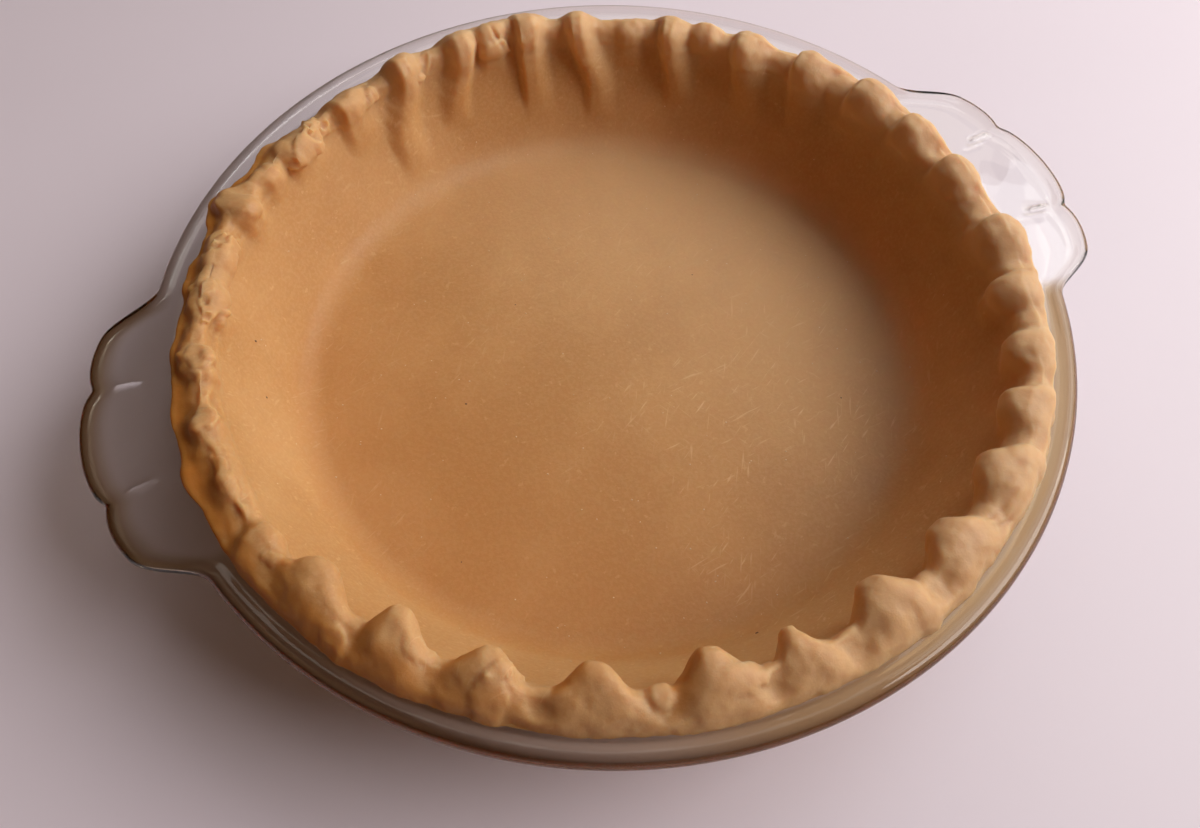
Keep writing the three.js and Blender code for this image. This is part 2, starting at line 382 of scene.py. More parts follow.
@dataclass
class GlassDish:
    """The pressed glass dish, one piece with its two scalloped handles.

    Top and under are the flat rings that the handles are pulled out of, on the rim's top and its underside.
    Their ends are measured outwards from the wall and inwards from the rim. The rim_shade values paint shade
    into the rim's glass, a brown darkening that stands for the shaded table and dough seen through it,
    strongest at rim_shade_side. A pair is where a change starts and its run, with four exceptions.
    Top_step is a place, inwards of the rim and above the flange. Wall_rings are shares of the way down the
    wall, and shoulder_fall the eased and the straight share of the shoulder's fall to the rim. Handle_shade
    is how much painted shade a handle's edge has and how much more so at the left, where the dish's shadow
    lies under it. Rib_shade paints the same shade along the right handle's ribs.
    """

    section: DishSection
    steps: int = 720
    flat_ring: float = 50.0
    wall_foot: float = 16.0
    wall_rings: Pair = (0.35, 0.7)
    fillet_height: float = 3.2
    under_start: float = 4.4
    under_end: float = 3.6
    under_step: float = 0.1
    top_start: float = 2.2
    top_end: float = 5.4
    top_step: Pair = (5.1, 0.04)
    outer_cove_rings: int = 14
    inner_cove_rings: int = 12
    bend_rings: int = 7
    rounding: float = 0.5
    handle_tip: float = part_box("glass_dish")[1].x / MM
    side_lobe: float = 141.2
    notch: float = 139.9
    notch_angle: float = 6.95
    side_lobe_angle: float = 9.8
    shoulder_angle: float = 13.8
    handle_end: float = 21.0
    shoulder_drop: float = 1.4
    shoulder_fall: Pair = (0.8, 0.2)
    handle_rings: int = 22
    lobe_dish: float = 0.12
    lobe_gap: float = 4.0
    lobe_least: float = 0.5
    rib_rise: float = 0.85
    rib_width: float = 0.65
    rib_length: float = 13.5
    rib_end: float = 4.6
    gather: float = 0.7
    gather_width: float = 1.6
    rib_fade: float = 2.0
    rib_grown: float = 6.0
    lobe_fade: float = 5.0
    lobe_grown: float = 9.0
    handle_bead: float = 0.4
    bead_grown: float = 5.0
    top_depth: float = 0.5
    under_depth: float = 0.3
    # rim_shade_* paint shade into the rim's glass: a brown darkening for the shaded table and dough seen
    # through it
    rim_shade_side: float = 265.0
    rim_shade_near: Pair = (-0.1, 0.6)
    rim_shade_round: Pair = (-0.5, 0.9)
    rim_shade_least: float = 0.2
    rim_shade_from: float = 123.2
    rim_shade_spread: float = 3.8
    rim_shade_run: float = 1.4
    rim_shade_above: float = 36.0
    left_run: float = 60.0
    left_band: float = 0.4
    handle_shade: Pair = (0.12, 0.83)
    handle_edge: Pair = (8.0, 7.0)
    rib_shade: float = 0.5
    pull_run: float = 4.0

    def outline(self, degrees: Array) -> Array:
        """Radius of the outline seen from above.

        Args:
            degrees: Directions round the dish.

        Returns:
            The outline's radius in each direction, with its corners slightly rounded.
        """
        total = np.zeros_like(degrees)
        offsets = np.linspace(-self.rounding, self.rounding, SAMPLES)
        for offset in offsets:
            total += self._sharp_outline(degrees + offset)
        return total / SAMPLES

    @staticmethod
    def _from_handle(degrees: Array) -> Array:
        """Returns how far each direction lies from the middle of the nearer handle, in degrees."""
        turn = np.mod(degrees, 180)
        return np.minimum(turn, 180 - turn)

    def _sharp_outline(self, degrees: Array) -> Array:
        """Works out the outline before its corners are rounded.

        Args:
            degrees: Directions round the dish.

        Returns:
            The radius of the middle lobe, the side lobes, the shoulders or the round rim.
        """
        away = self._from_handle(degrees)
        rim, foot = self.section.rim_radius, self.side_lobe - self.shoulder_drop
        middle = np.sqrt(np.clip(1 - (away / self.notch_angle) ** 2, 0, 1))
        radius = self.notch + (self.handle_tip - self.notch) * middle
        rise = part_way(away, self.notch_angle, self.side_lobe_angle)
        side = self.notch + (self.side_lobe - self.notch) * np.sin(rise * math.pi / 2)
        radius = np.where(away > self.notch_angle, side, radius)
        ease = part_way(away, self.side_lobe_angle, self.shoulder_angle)
        crown = self.side_lobe - self.shoulder_drop * ease ** 2
        radius = np.where(away > self.side_lobe_angle, crown, radius)
        fall = part_way(away, self.shoulder_angle, self.handle_end)
        eased, straight = self.shoulder_fall
        run = foot + (rim - foot) * (eased * smooth(fall) + straight * fall)
        return np.where(away > self.shoulder_angle, run, radius)

    def _fillet_foot(self) -> Point:
        """Returns where the outer wall ends and its fillet to the rim's underside starts."""
        top = self.section.height - self.section.bead_depth - self.fillet_height
        return self.section.wall_radius(top, -self.section.wall), top

    def _under_ring(self) -> Pair:
        """Returns the inner and the outer radius of the rim's flat underside."""
        return self._fillet_foot()[0] + self.under_start, self.section.rim_radius - self.under_end

    def _top_ring(self) -> Pair:
        """Returns the inner and the outer radius of the rim's flat top."""
        return self.section.flange_inner + self.top_start, self.section.rim_radius - self.top_end

    def profile(self) -> list[Point]:
        """Works out the section that is turned.

        Returns:
            Its points from the middle of the underside, out round the rim, to the middle of the floor.
        """
        shape = self.section
        rim, top, under = shape.rim_radius, shape.flange_top, shape.height - shape.bead_depth
        outer_cove = arc(shape.cove_centre, shape.cove + shape.wall, -90, -shape.lean, self.outer_cove_rings)
        inner_cove = arc(shape.cove_centre, shape.cove, -shape.lean, -90, self.inner_cove_rings)
        foot, wall_top = self._fillet_foot()
        fillet = [(foot + out, wall_top + up) for out, up in FILLET]
        low = [(radius, under - self.under_step) for radius in evenly(*self._under_ring(), self.handle_rings)]
        edge = [(rim - back, under + up) for back, up in BEAD_SIDE]
        edge += [(rim - back, shape.height - down) for back, down in BEAD_TOP]
        edge.append((rim - self.top_step[0], top + self.top_step[1]))
        inner, outer = self._top_ring()
        flat = [(radius, top) for radius in evenly(outer, inner, self.handle_rings)]
        centre = (shape.flange_inner, top - shape.corner)
        bend = arc(centre, shape.corner, 90, 180 - shape.lean, self.bend_rings)
        bend = [point for point in bend if point[1] > shape.cove_centre[1]]
        return [(0, 0), (self.flat_ring, 0), *outer_cove, *fillet, *low, *edge, *flat, *bend,
                *self._inner_wall(bend[-1]), *inner_cove, (self.flat_ring, shape.wall), (0, shape.wall)]

    def _inner_wall(self, below: Point) -> list[Point]:
        """Returns two points on the straight inner wall, below the bend at its top."""
        heights = [below[1] - (below[1] - self.wall_foot) * share for share in self.wall_rings]
        return [(self.section.wall_radius(z), z) for z in heights]

    def build(self) -> Piece:
        """Spins the section, then pulls the rim out to the handles.

        Returns:
            The finished dish.
        """
        flange, under = self.section.flange_top, self.section.height - self.section.bead_depth
        dish = Bench.lathe("clear_dish", self.profile(), self.steps)
        points = Bench.points(dish)
        degrees, radius = Bench.polar(points)
        degrees, height = self._gathered(degrees), points[:, 2]
        pull = self.outline(degrees) - self.section.rim_radius
        flat_bead = 1 - (1 - self.handle_bead) * smooth(pull / self.bead_grown)
        height = np.where(height > flange + HAIR, flange + (height - flange) * flat_bead, height)
        on_top, on_rim = height > flange - self.top_depth, height > under - self.under_depth
        share_top = part_way(radius, *self._top_ring())
        share = np.where(on_top, share_top, part_way(radius, *self._under_ring()))
        radius = radius + pull * np.where(on_rim, share, 0)
        height = height + self._relief(degrees, radius, pull, on_top & (share_top > 0))
        turns = np.radians(degrees)
        Bench.place(dish, np.column_stack([radius * np.cos(turns), radius * np.sin(turns), height]))
        Bench.soften(dish)
        self._tint(dish)
        return dish

    def _gathered(self, degrees: Array) -> Array:
        """Draws the columns together beside the ribs, so that the narrow ribs are round.

        Args:
            degrees: The columns' even directions.

        Returns:
            Their new directions, in the same order.
        """
        pulled = degrees.copy()
        for rib in (self.notch_angle, -self.notch_angle, 180 - self.notch_angle, 180 + self.notch_angle):
            away = apart(degrees, rib)
            pulled -= self.gather * away * np.exp(-(away / self.gather_width) ** 2)
        return pulled

    def _beside(self, degrees: Array, radius: Array) -> Array:
        """Returns how far each place lies to the side of the nearest rib, in millimetres."""
        return np.radians(self._from_handle(degrees) - self.notch_angle) * radius

    def _rib(self, degrees: Array, radius: Array) -> Array:
        """Works out the ribs' cross section and their two ends.

        Args:
            degrees: Each point's direction.
            radius: Each point's radius.

        Returns:
            How far up a rib each point lies, from 0 beside it to 1 along its top.
        """
        outwards = smooth((self.notch - self.rib_end - radius) / self.rib_fade)
        along = risen(radius, self.notch - self.rib_length, self.rib_fade) * outwards
        return np.exp(-(self._beside(degrees, radius) / self.rib_width) ** 2) * along

    def _relief(self, degrees: Array, radius: Array, pull: Array, on_top: Array) -> Array:
        """Works out the ribs and shallow hollows on the handles' upper face.

        Args:
            degrees: Each point's direction.
            radius: Each point's radius after the handles are pulled out.
            pull: How far the rim is pulled out in that direction.
            on_top: Which points lie on the upper face.

        Returns:
            The rise of each point in millimetres.
        """
        away, beside = self._from_handle(degrees), self._beside(degrees, radius)
        rib = self.rib_rise * self._rib(degrees, radius)
        inner, outer = self._top_ring()[0], self.outline(degrees) - self.section.bead_width
        across = np.clip((radius - inner) / np.maximum(outer - inner, self.lobe_least), 0, 1)
        lobe = 1 - np.exp(-(beside / self.lobe_gap) ** 2)
        lobe = lobe * smooth((self.handle_end - away) / self.lobe_fade)
        hollow = self.lobe_dish * np.sin(across * math.pi) ** 2 * smooth(pull / self.lobe_grown) * lobe
        return np.where(on_top, rib * smooth(pull / self.rib_grown) - hollow, 0)

    def _tint(self, dish: Piece) -> None:
        """Notes on each vertex how much painted shade the rim's glass gets, a brown darkening for the shaded
        table and dough seen through it, which its finish reads.

        Args:
            dish: The shaped dish.
        """
        points = Bench.points(dish)
        degrees, radius = Bench.polar(points)
        # painted shade: the rim's glass is darkened brown, most on the near side and less at the near left,
        # for the shaded table and dough seen through it
        outline, shade_way = self.outline(degrees), facing(degrees, self.rim_shade_side)
        pull = risen(outline, self.section.rim_radius, self.pull_run)
        near, left = risen(shade_way, *self.rim_shade_near), smooth(-points[:, 0] / self.left_run)
        strength = self.rim_shade_least + (1 - self.rim_shade_least) * risen(shade_way, *self.rim_shade_round)
        strength = strength * (1 - self.left_band * left) * (1 - pull)
        band = smooth((radius - self.rim_shade_from + self.rim_shade_spread * near) / self.rim_shade_run) * strength
        # painted shade on the handles' edges, stronger at the left where the dish's shadow lies under them,
        # and on the right handle's ribs
        least, more = self.handle_shade
        depth, run = self.handle_edge
        edge = (least + more * left) * pull * risen(radius, outline - depth, run)
        edge = np.maximum(edge, self.rib_shade * pull * (1 - left) * self._rib(degrees, radius))
        Bench.note(dish, "rim_painted_shade", (band + edge) * (points[:, 2] > self.rim_shade_above))


# ---- The pastry ----


@dataclass(frozen=True)
class Flute:
    """One pinched ridge of the pastry's edge, with its angles in degrees round the dish.

    The tip is the radius of its innermost point and rise that point's height above the rim. Low and high
    are its half widths towards lower and higher angles, and flat is the half width of its blunt top. Out
    and foot turn its outer end and the end of its tail, which runs down the wall for tail millimetres.
    Full is how far it spreads into its neighbours at the crest, and crown how far its highest line lies to
    the high side of its tip.
    """

    angle: float
    flat: float
    low: float
    high: float
    tip: float
    rise: float
    out: float
    foot: float
    tail: float
    full: float
    crown: float = 0.0


@dataclass(frozen=True)
class Station:
    """The low edge between two flutes.

    It has an outer radius, a lip with its own radius and height, a hollow dug into its outer slope, and a
    roll, which is how broadly its top is rounded: 1 is a thin lip.
    """

    angle: float
    edge: float
    lip: float
    height: float
    hollow: float
    roll: float


FLUTES = tuple(Flute(*row) for row in (
    (2.4, 1.8, 5.4, 2, 106.8, 6.4, -1, 1, 14, 0.55), (12.4, 1.8, 5.6, 2, 106.6, 6.8, -1, 1, 14, 0.55),
    (22.3, 1.6, 5.8, 1.8, 106, 7.8, -1, 1, 15, 0.5), (33.8, 1.2, 5, 2, 104.8, 7.5, -1, -2.4, 22, 0.35),
    (44.9, 0.8, 4.6, 2.3, 104.4, 6.4, -0.6, -2.4, 23, 0.3), (52, 0.8, 2.6, 3.6, 107.8, 5.2, 0, 0, 9, 0.3),
    (58.6, 0.8, 4.2, 1.9, 103.8, 7, 0, -2.4, 26, 0.25), (65.4, 0.6, 2.6, 2.4, 107, 3.4, 0, -0.5, 16, 0.25),
    (75, 0.9, 3.8, 1.9, 103.6, 7.6, 0, -3.2, 31, 0.2), (84.2, 1.6, 4.2, 1.7, 103.8, 9, 0, 0, 27, 0.2),
    (90.2, 2.4, 3, 3, 106.4, 7.8, 0, 0.5, 13, 0.45), (95.8, 1, 3.6, 2.6, 103.8, 8.4, 0, 3.4, 25, 0.25),
    (107, 0.9, 4.4, 2.4, 104, 8.2, 0, 4, 33, 0.2), (119, 1, 5.4, 2.4, 105.8, 5.2, 0, 0, 18, 0.15),
    (130.8, 1.5, 6, 3.2, 105.8, 4.8, 0, 0, 13, 0.35), (137.4, 0.8, 4, 2.4, 106.8, 4.4, 0, 0, 12, 0.4),
    (145.2, 1.2, 4, 2.8, 106, 4.6, 0, 0, 13, 0.15), (153.6, 1.6, 3.6, 3.2, 107.6, 4.6, 0, 0, 9, 0.2),
    (164, 2.2, 5, 2.6, 106.6, 4.8, 0, 0, 10, 0.2), (174.4, 1.2, 4.4, 2.6, 106.8, 5.2, 0, 0, 9, 0.2),
    (184.2, 1.2, 4.2, 2.6, 107.6, 5, 0, 0, 9, 0.2), (193, 1.2, 3.6, 3, 108.2, 4.6, 0, 0, 9, 0.2),
    (201.6, 0.8, 2.4, 4.4, 108.2, 5.4, 0.8, 0, 9, 0.15),
    (211, 0.7, 4.6, 6.4, 105.2, 7, 1.4, 0, 8, 0.1, 0.6),
    (222.9, 0.7, 3.2, 5, 104.4, 7.8, 0.5, 0, 8, 0.1, 0.3),
    (234.8, 0.4, 5, 5, 105.4, 7.4, 0.3, 0, 8, 0.08, 0.3),
    (247, 0.6, 4.6, 4.6, 106, 7.6, 0.8, 0, 8, 0.08, 1.4), (260, 0.3, 4.6, 6, 103.8, 8.8, 0, 0, 8, 0.08),
    (270.4, 0.4, 3.2, 4.4, 106.2, 7.4, 0, 0, 8, 0.05, 0.5),
    (282.2, 0.8, 4.2, 5.4, 104.4, 8.6, 0, 0, 9, 0.12, 0.5),
    (294.8, 0.9, 5, 4.6, 105.2, 8.2, 0, 0, 9, 0.14, 0.6),
    (306.8, 0.8, 4.8, 4.6, 105.8, 7.8, 0, 0, 9, 0.14, 0.8),
    (318, 0.9, 4.6, 3.8, 106.4, 7.4, 0, 0, 10, 0.2, 0.6),
    (327.6, 0.8, 4.2, 3, 107, 6.8, 0, 0, 12, 0.25, 0.4),
    (338, 0.8, 3.8, 2.6, 105.2, 6.4, 0, 0.5, 15, 0.35),
    (348.6, 1.4, 5.2, 2.4, 106.2, 8, -0.8, 1, 14, 0.55),
))

STATIONS = tuple(Station(*row) for row in (
    (0, 118.2, 107.8, 3.2, 0.1, 2.9), (7, 116.8, 107.6, 2.6, 0.1, 2.9),
    (14.6, 117.4, 107.6, 3.4, 0.1, 2.9), (20, 117.4, 107.6, 3.6, 0.1, 2.8),
    (27, 116.4, 107.6, 2.8, 0.1, 2.8), (31, 116.8, 107.8, 3.2, 0.1, 2.6),
    (38, 115.6, 108.2, 2.2, 0.1, 2.4), (41, 115.4, 108.4, 2, 0.1, 2.3), (49, 115.2, 108.6, 2.3, 0.1, 2.2),
    (56, 115.6, 108.8, 3.2, 0.2, 2.1), (62, 115.8, 109, 3.2, 0.2, 2), (66, 115.4, 109, 2.6, 0.2, 2),
    (70, 115.2, 109, 2.6, 0.2, 2), (78, 115.8, 109, 4.6, 0.3, 1.9), (87, 116.6, 109, 7, 0.3, 1.8),
    (92.6, 116.6, 109, 7, 0.3, 1.8), (99, 116.2, 109.2, 4.2, 0.3, 1.7),
    (102.4, 115.8, 109.2, 2.8, 0.2, 1.7), (111, 115.8, 109.4, 2.2, 0.2, 1.5),
    (114, 116, 109.4, 2.2, 0.6, 1.4), (118, 116.8, 109.6, 3.2, 0.6, 1.3), (122, 116, 109.6, 2.6, 0.6, 1.2),
    (126, 116.6, 109.6, 3, 0.4, 1.2), (129, 117.2, 109.4, 2.8, 0.2, 1.2),
    (132.8, 120.8, 109.4, 3, 0.2, 1.2), (137, 117, 109.2, 3, 0.4, 1.2), (140, 119, 108.8, 3.2, 0.2, 1.2),
    (144, 123.2, 108.8, 3.4, 0.2, 1.2), (147, 120.4, 108.8, 3.2, 0.2, 1.2),
    (151, 117.6, 108.6, 3.4, 0.2, 1.2), (157, 119.2, 108.4, 3.6, 0.2, 1.2),
    (163, 117.2, 108.4, 3.8, 0.2, 1.2), (170, 119.2, 108.4, 3.8, 0.2, 1.2),
    (175, 118.6, 108.4, 3.8, 0.2, 1.2), (180.5, 120.4, 108.2, 3.8, 0.2, 1.2),
    (186, 119.2, 107.8, 3.8, 0.2, 1.2), (189.5, 121.4, 107.8, 3.8, 0.2, 1.2),
    (194.6, 119.6, 108.2, 3.8, 0.3, 1.2), (198, 120.2, 108.8, 3.8, 0.6, 1.2),
    (205, 120.8, 110.2, 4.4, 0.5, 1.25), (217.6, 120.9, 110.9, 4.8, 0.4, 1.3),
    (229.2, 120.9, 110.9, 4.8, 0.5, 1.3), (240.6, 120.9, 111.7, 4.8, 0.5, 1.3),
    (253, 120.9, 111.2, 4.6, 0.7, 1.2), (266.6, 120.9, 112, 4.8, 1.2, 1),
    (276.8, 120.9, 110.8, 4.6, 1, 1.2), (289, 120.9, 110.6, 4.8, 0.8, 1.45),
    (301.5, 120.9, 110.4, 4.8, 0.7, 1.55), (313.2, 120.8, 111.2, 5, 0.5, 2),
    (323.4, 120.2, 111.4, 4.8, 0.5, 2.1), (331.6, 119.3, 110.6, 4.4, 0.3, 2.3),
    (335, 118.8, 110, 4, 0.2, 2.4), (342, 119.4, 108.8, 3.8, 0.1, 2.7), (349, 120.2, 107.8, 3.6, 0.1, 2.9),
    (354.5, 116.6, 107.8, 2.4, 0.1, 2.9),
))

LEDGE = (
    (118, 113.6), (122, 112.4), (125, 113.2), (127, 112.8), (129, 112.4), (131, 113.6), (133, 113.4),
    (135, 112.4), (137, 112.4), (138, 113.2), (140, 114.2), (142, 117), (143.4, 119.3), (145.4, 119.5),
    (146.4, 116), (147.2, 113.6), (148.2, 113.3), (149.6, 113.4), (150.6, 115), (151.3, 115.2), (153, 114.8),
    (154.5, 113.8), (156, 112.8), (158, 112.5), (159.8, 112.8), (160.8, 114.2), (164, 114), (165, 113),
    (167, 112.6), (169, 113.7), (170, 114.8), (172, 115.5), (174, 115.1), (175.2, 113.8), (176, 111.8),
    (178, 112), (180.3, 112.7), (181.3, 114.4), (183, 114.8), (184.4, 114), (186, 113.2), (188, 112.2),
    (190, 112.3), (192, 113.2), (195, 113.2), (198, 112.8), (199.4, 113.8), (201, 117), (203, 119.5),
    (206, 119.5),
)


@dataclass(frozen=True)
class Patch:
    """A flap, a nub or a hollow of the edge: its middle, its size and how far it stands out or in.

    The reach of its middle is a slanting radius, which falls with the height too, so that it runs evenly
    from the outer edge over the crest and down the wall. Long runs along the edge and wide across it, in
    millimetres, and yaw turns them, in degrees. Lift is negative for a hollow, soft is how gently its
    sides rise, and ragged how uneven its outline is. Root is the share of its length, from its low end, over
    which it grows out of the dough.
    """

    angle: float
    reach: float
    long: float
    wide: float
    lift: float
    soft: float
    ragged: float
    yaw: float
    root: float = 0.0


PATCHES = tuple(Patch(*row) for row in (
    (89.9, 103, 11.5, 12, 1.3, 0.25, 0.1, 8), (89.2, 110.5, 1.6, 11, -0.9, 0.9, 0.15, -12),
    (101.9, 107, 1.3, 11, 0.7, 0.8, 0.05, 20), (103.9, 102.2, 2.6, 4.4, 1.5, 0.5, 0.05, 20),
    (113.8, 102.6, 5, 17, 1.5, 0.4, 0.12, 14), (129.4, 104.6, 13, 13, 1.1, 0.16, 0.3, -12),
    (126, 104.2, 10, 15, 1.1, 0.16, 0.3, 14), (126.6, 107, 1.3, 9, -0.5, 0.8, 0.3, 6),
    (125.2, 105, 1.1, 8, -0.5, 0.8, 0.3, 14), (121.4, 104, 5, 14, -0.8, 0.9, 0.05, 8),
    (133.8, 105, 4, 13, -0.2, 0.9, 0.05, 8), (139.9, 103.5, 5, 14, -0.5, 0.9, 0.05, 4),
    (144.6, 110.5, 8, 13, 0.9, 0.25, 0.15, 0), (149.2, 107.5, 7, 9.5, -0.8, 0.9, 0.05, -10),
    (153.6, 101.4, 10, 5, -0.9, 0.9, 0.1, 0), (158.2, 107.8, 29, 13, 1.1, 0.14, 0.22, 0),
    (161.5, 111, 6, 4, 0.6, 0.2, 0.25, 20), (152.4, 111, 6, 5, 0.6, 0.2, 0.25, -20),
    (165.4, 103.8, 6, 2.6, 1.1, 0.45, 0.15, -20), (165.8, 105.9, 2.4, 1.6, -0.7, 0.7, 0.1, 10),
    (170.2, 104.5, 18, 10, -0.8, 0.95, 0.05, -12), (172.8, 111.8, 9, 8.5, 0.9, 0.16, 0.18, 0),
    (173.2, 108.4, 3.4, 5.6, 0.9, 0.3, 0.08, 12), (180.6, 107, 10, 4.5, -0.9, 0.9, 0.05, 8),
    (183.3, 112.2, 7.6, 6.6, 1.1, 0.18, 0.18, 20), (193, 112, 18, 3.6, 0.5, 0.4, 0.3, 0),
    (206, 113.5, 7, 3, 0.6, 0.4, 0.2, -20), (217.8, 118.4, 7, 5, 0.6, 0.35, 0.12, 10),
    (226.8, 112.6, 8, 5, 0.7, 0.4, 0.15, -20), (237.2, 111.4, 9.6, 3.4, 0.8, 0.4, 0.15, -42),
    (236.2, 117.6, 8, 7, 0.7, 0.35, 0.15, 0), (254.4, 113.6, 5.6, 6.2, 1, 0.7, 0.1, 0),
    (263.6, 114.2, 16, 5.4, 1.2, 0.25, 0.12, -14, 0.6), (270.5, 106.4, 3.4, 3.4, 0.8, 0.7, 0.05, 0),
    (276.6, 112.4, 7, 2, 0.5, 0.7, 0.15, -14), (302.5, 117.4, 15, 1.6, 0.4, 0.9, 0.1, 14),
    (285.6, 118, 5, 8, 0.5, 0.8, 0.1, 0), (244, 116.5, 8, 5, 0.5, 0.8, 0.1, 20),
    (310.4, 117, 7, 7, 0.5, 0.9, 0.1, 0), (297.6, 115.4, 7, 7, 0.4, 0.8, 0.1, 0),
))


@dataclass(frozen=True)
class Layer:
    """One layer of the dough's unevenness.

    Length is its wavelength in millimetres, waves how many are added up and draw which random draw it is.
    The others are its height in millimetres everywhere, off the floor, on the rim and where the rim is torn.
    """

    length: float
    waves: int
    draw: int
    everywhere: float
    off_floor: float
    rim: float
    torn: float


LAYERS = (
    Layer(26, 30, 0, 0.3, 0, 0, 0),
    Layer(9, 30, 3, 0, 0.1, 0.2, 0.14),
    Layer(4.5, 40, 1, 0, 0, 0.11, 0.09),
    Layer(2.4, 40, 2, 0, 0, 0.06, 0.04),
)


BRAN = (
    (3.5, -96.3, 0.48), (-46.2, 0.5, 0.34), (-98.3, 30.5, 0.42), (-99.7, 13.7, 0.36), (-20.5, 31.0, 0.24),
    (38.0, 22.0, 0.22), (61.0, -38.0, 0.26), (-62.0, -48.0, 0.22),
)


class Zone(Enum):
    """How a guide ring of the edge takes its place."""

    EDGE = "beside the glass, measured from the outer edge"
    SLOPE = "on the slope, as a share of the way from the edge to the crest"
    LIP = "round the lip, measured from the lip and the crest's height"
    WALL = "on the inner wall, measured down from the rim"


@dataclass(frozen=True)
class Guide:
    """One guide ring of the pinched edge.

    Across and up are its place in its zone. Pull and lift are how far a flute draws it in and up, out and
    foot how much of the flute's turn it has, and fill how far the flutes spread into each other. Dig is how
    much of the hollow between two flutes it has, and follow how far it hangs with the lip above it. Ledge
    is its share of the way from the torn top's ragged edge to the glass and its share of the height there,
    and inset how far inside the ragged edge it lies.
    """

    zone: Zone
    across: float
    up: float
    pull: float
    lift: float
    out: float
    foot: float
    fill: float
    dig: float = 0.0
    follow: float = 0.0
    ledge: Point = (0.0, 0.0)
    inset: float = 0.0


GUIDES = (
    Guide(Zone.EDGE, -0.5, -0.85, 0, 0, 1, 0, 1),
    Guide(Zone.EDGE, 0, 0.05, 0, 0.01, 1, 0, 1),
    Guide(Zone.EDGE, -0.4, 1.15, 0, 0.04, 1, 0, 1, 0.1),
    Guide(Zone.SLOPE, 0.2, 0.5, 0.02, 0.18, 0.95, 0, 0.9, 0.3, 0, (0.64, 0.42)),
    Guide(Zone.SLOPE, 0.4, 0.72, 0.1, 0.48, 0.85, 0, 0.7, 0.85, 0, (0.3, 0.74)),
    Guide(Zone.SLOPE, 0.62, 0.88, 0.28, 0.8, 0.65, 0, 0.45, 1, 0, (0, 1), 0.1),
    Guide(Zone.SLOPE, 0.82, 0.98, 0.54, 0.97, 0.35, 0, 0.25, 0.6, 0, (0, 1.12), 1.4),
    Guide(Zone.LIP, 1.9, 0, 0.79, 1, 0.12, 0, 0.1, 0.15),
    Guide(Zone.LIP, 0.8, -0.6, 0.93, 0.86, 0, 0, 0),
    Guide(Zone.LIP, 0.05, -1.9, 1.0, 0.52, 0, 0, 0),
    Guide(Zone.LIP, -0.3, -3.9, 0.97, 0.16, 0, 0.1, 0.1),
    Guide(Zone.WALL, 0.2, -3.6, 0.92, 0, 0, 0.25, 0.2, 0, 1),
    Guide(Zone.WALL, 0.2, -6.8, 0.86, 0, 0, 0.5, 0.35, 0, 0.8),
    Guide(Zone.WALL, 0.1, -10.6, 0.8, 0, 0, 0.8, 0.45, 0, 0.5),
    Guide(Zone.WALL, 0, -15, 0.72, 0, 0, 1, 0.5, 0, 0.24),
    Guide(Zone.WALL, 0, -20.5, 0.65, 0, 0, 1, 0.5, 0, 0.08),
    Guide(Zone.WALL, 0, -26, 0.6, 0, 0, 1, 0.5),
)


@dataclass(frozen=True)
class DryingLightAndShade:
    """Where the dough is paler, from drying and as painted light, and where it has painted shade.

    The paler share is partly the real dried, floured edge and flaps and partly painted light, strongest
    on the side of the rim towards the lights and across the floor towards the window. The painted shade is
    a darker, saturated orange on slopes and faces turned away from the light, near the glass under the
    torn edge, and over the floor's part away from the window. A side is a direction round the dish in
    degrees. A pair is where a change starts and its run, in millimetres, or as a share for how far a face
    or a place looks one way. A way is a direction from above, along X and Y. A mix is the share that is
    always there and the share that comes with the change.
    """

    rim: Pair = (-9, 12)
    floor: Pair = (1, 8)
    outside: Pair = (110, 6)
    looks_out: Pair = (0.05, 0.45)
    torn: Pair = (0.2, 1.6)
    # near_glass, glass_mix, shade_side and shade place the painted shade on outward slopes turned away from
    # the light, darkest near the glass
    near_glass: Pair = (2, 3)
    glass_mix: Pair = (0.8, 0.2)
    shade_side: float = 180.0
    shade: Pair = (0.3, 0.5)
    # turned_shade_* and glow: painted shade on faces turned away from the light, a saturated orange for dough
    # in shade
    turned_shade_side: float = 218.0
    glow: Pair = (0.6, 0.25)
    turned_shade_way: Pair = (-0.9, 0.42)
    looks_left: Pair = (0.02, 0.5)
    turned_shade_share: float = 0.8
    # lit_side is where the painted light on the rim is strongest, the side towards the lights
    lit_side: float = 5.0
    far_side: float = 68.0
    far: Pair = (0.5, 0.4)
    far_share: float = 0.75
    rim_least: float = 0.08
    rim_more: float = 0.82
    flap_share: float = 0.12
    # floor_light and floor_light_way paint light on the floor, paler towards the window side
    floor_light_way: Pair = (0.85, 0.5)
    floor_light: float = 0.55
    floor_slope: float = 0.8
    floor_level: float = 0.25
    # floor_shade and shade_level: painted shade over the floor's part away from the window
    floor_shade: float = 0.3
    shade_level: float = 0.2


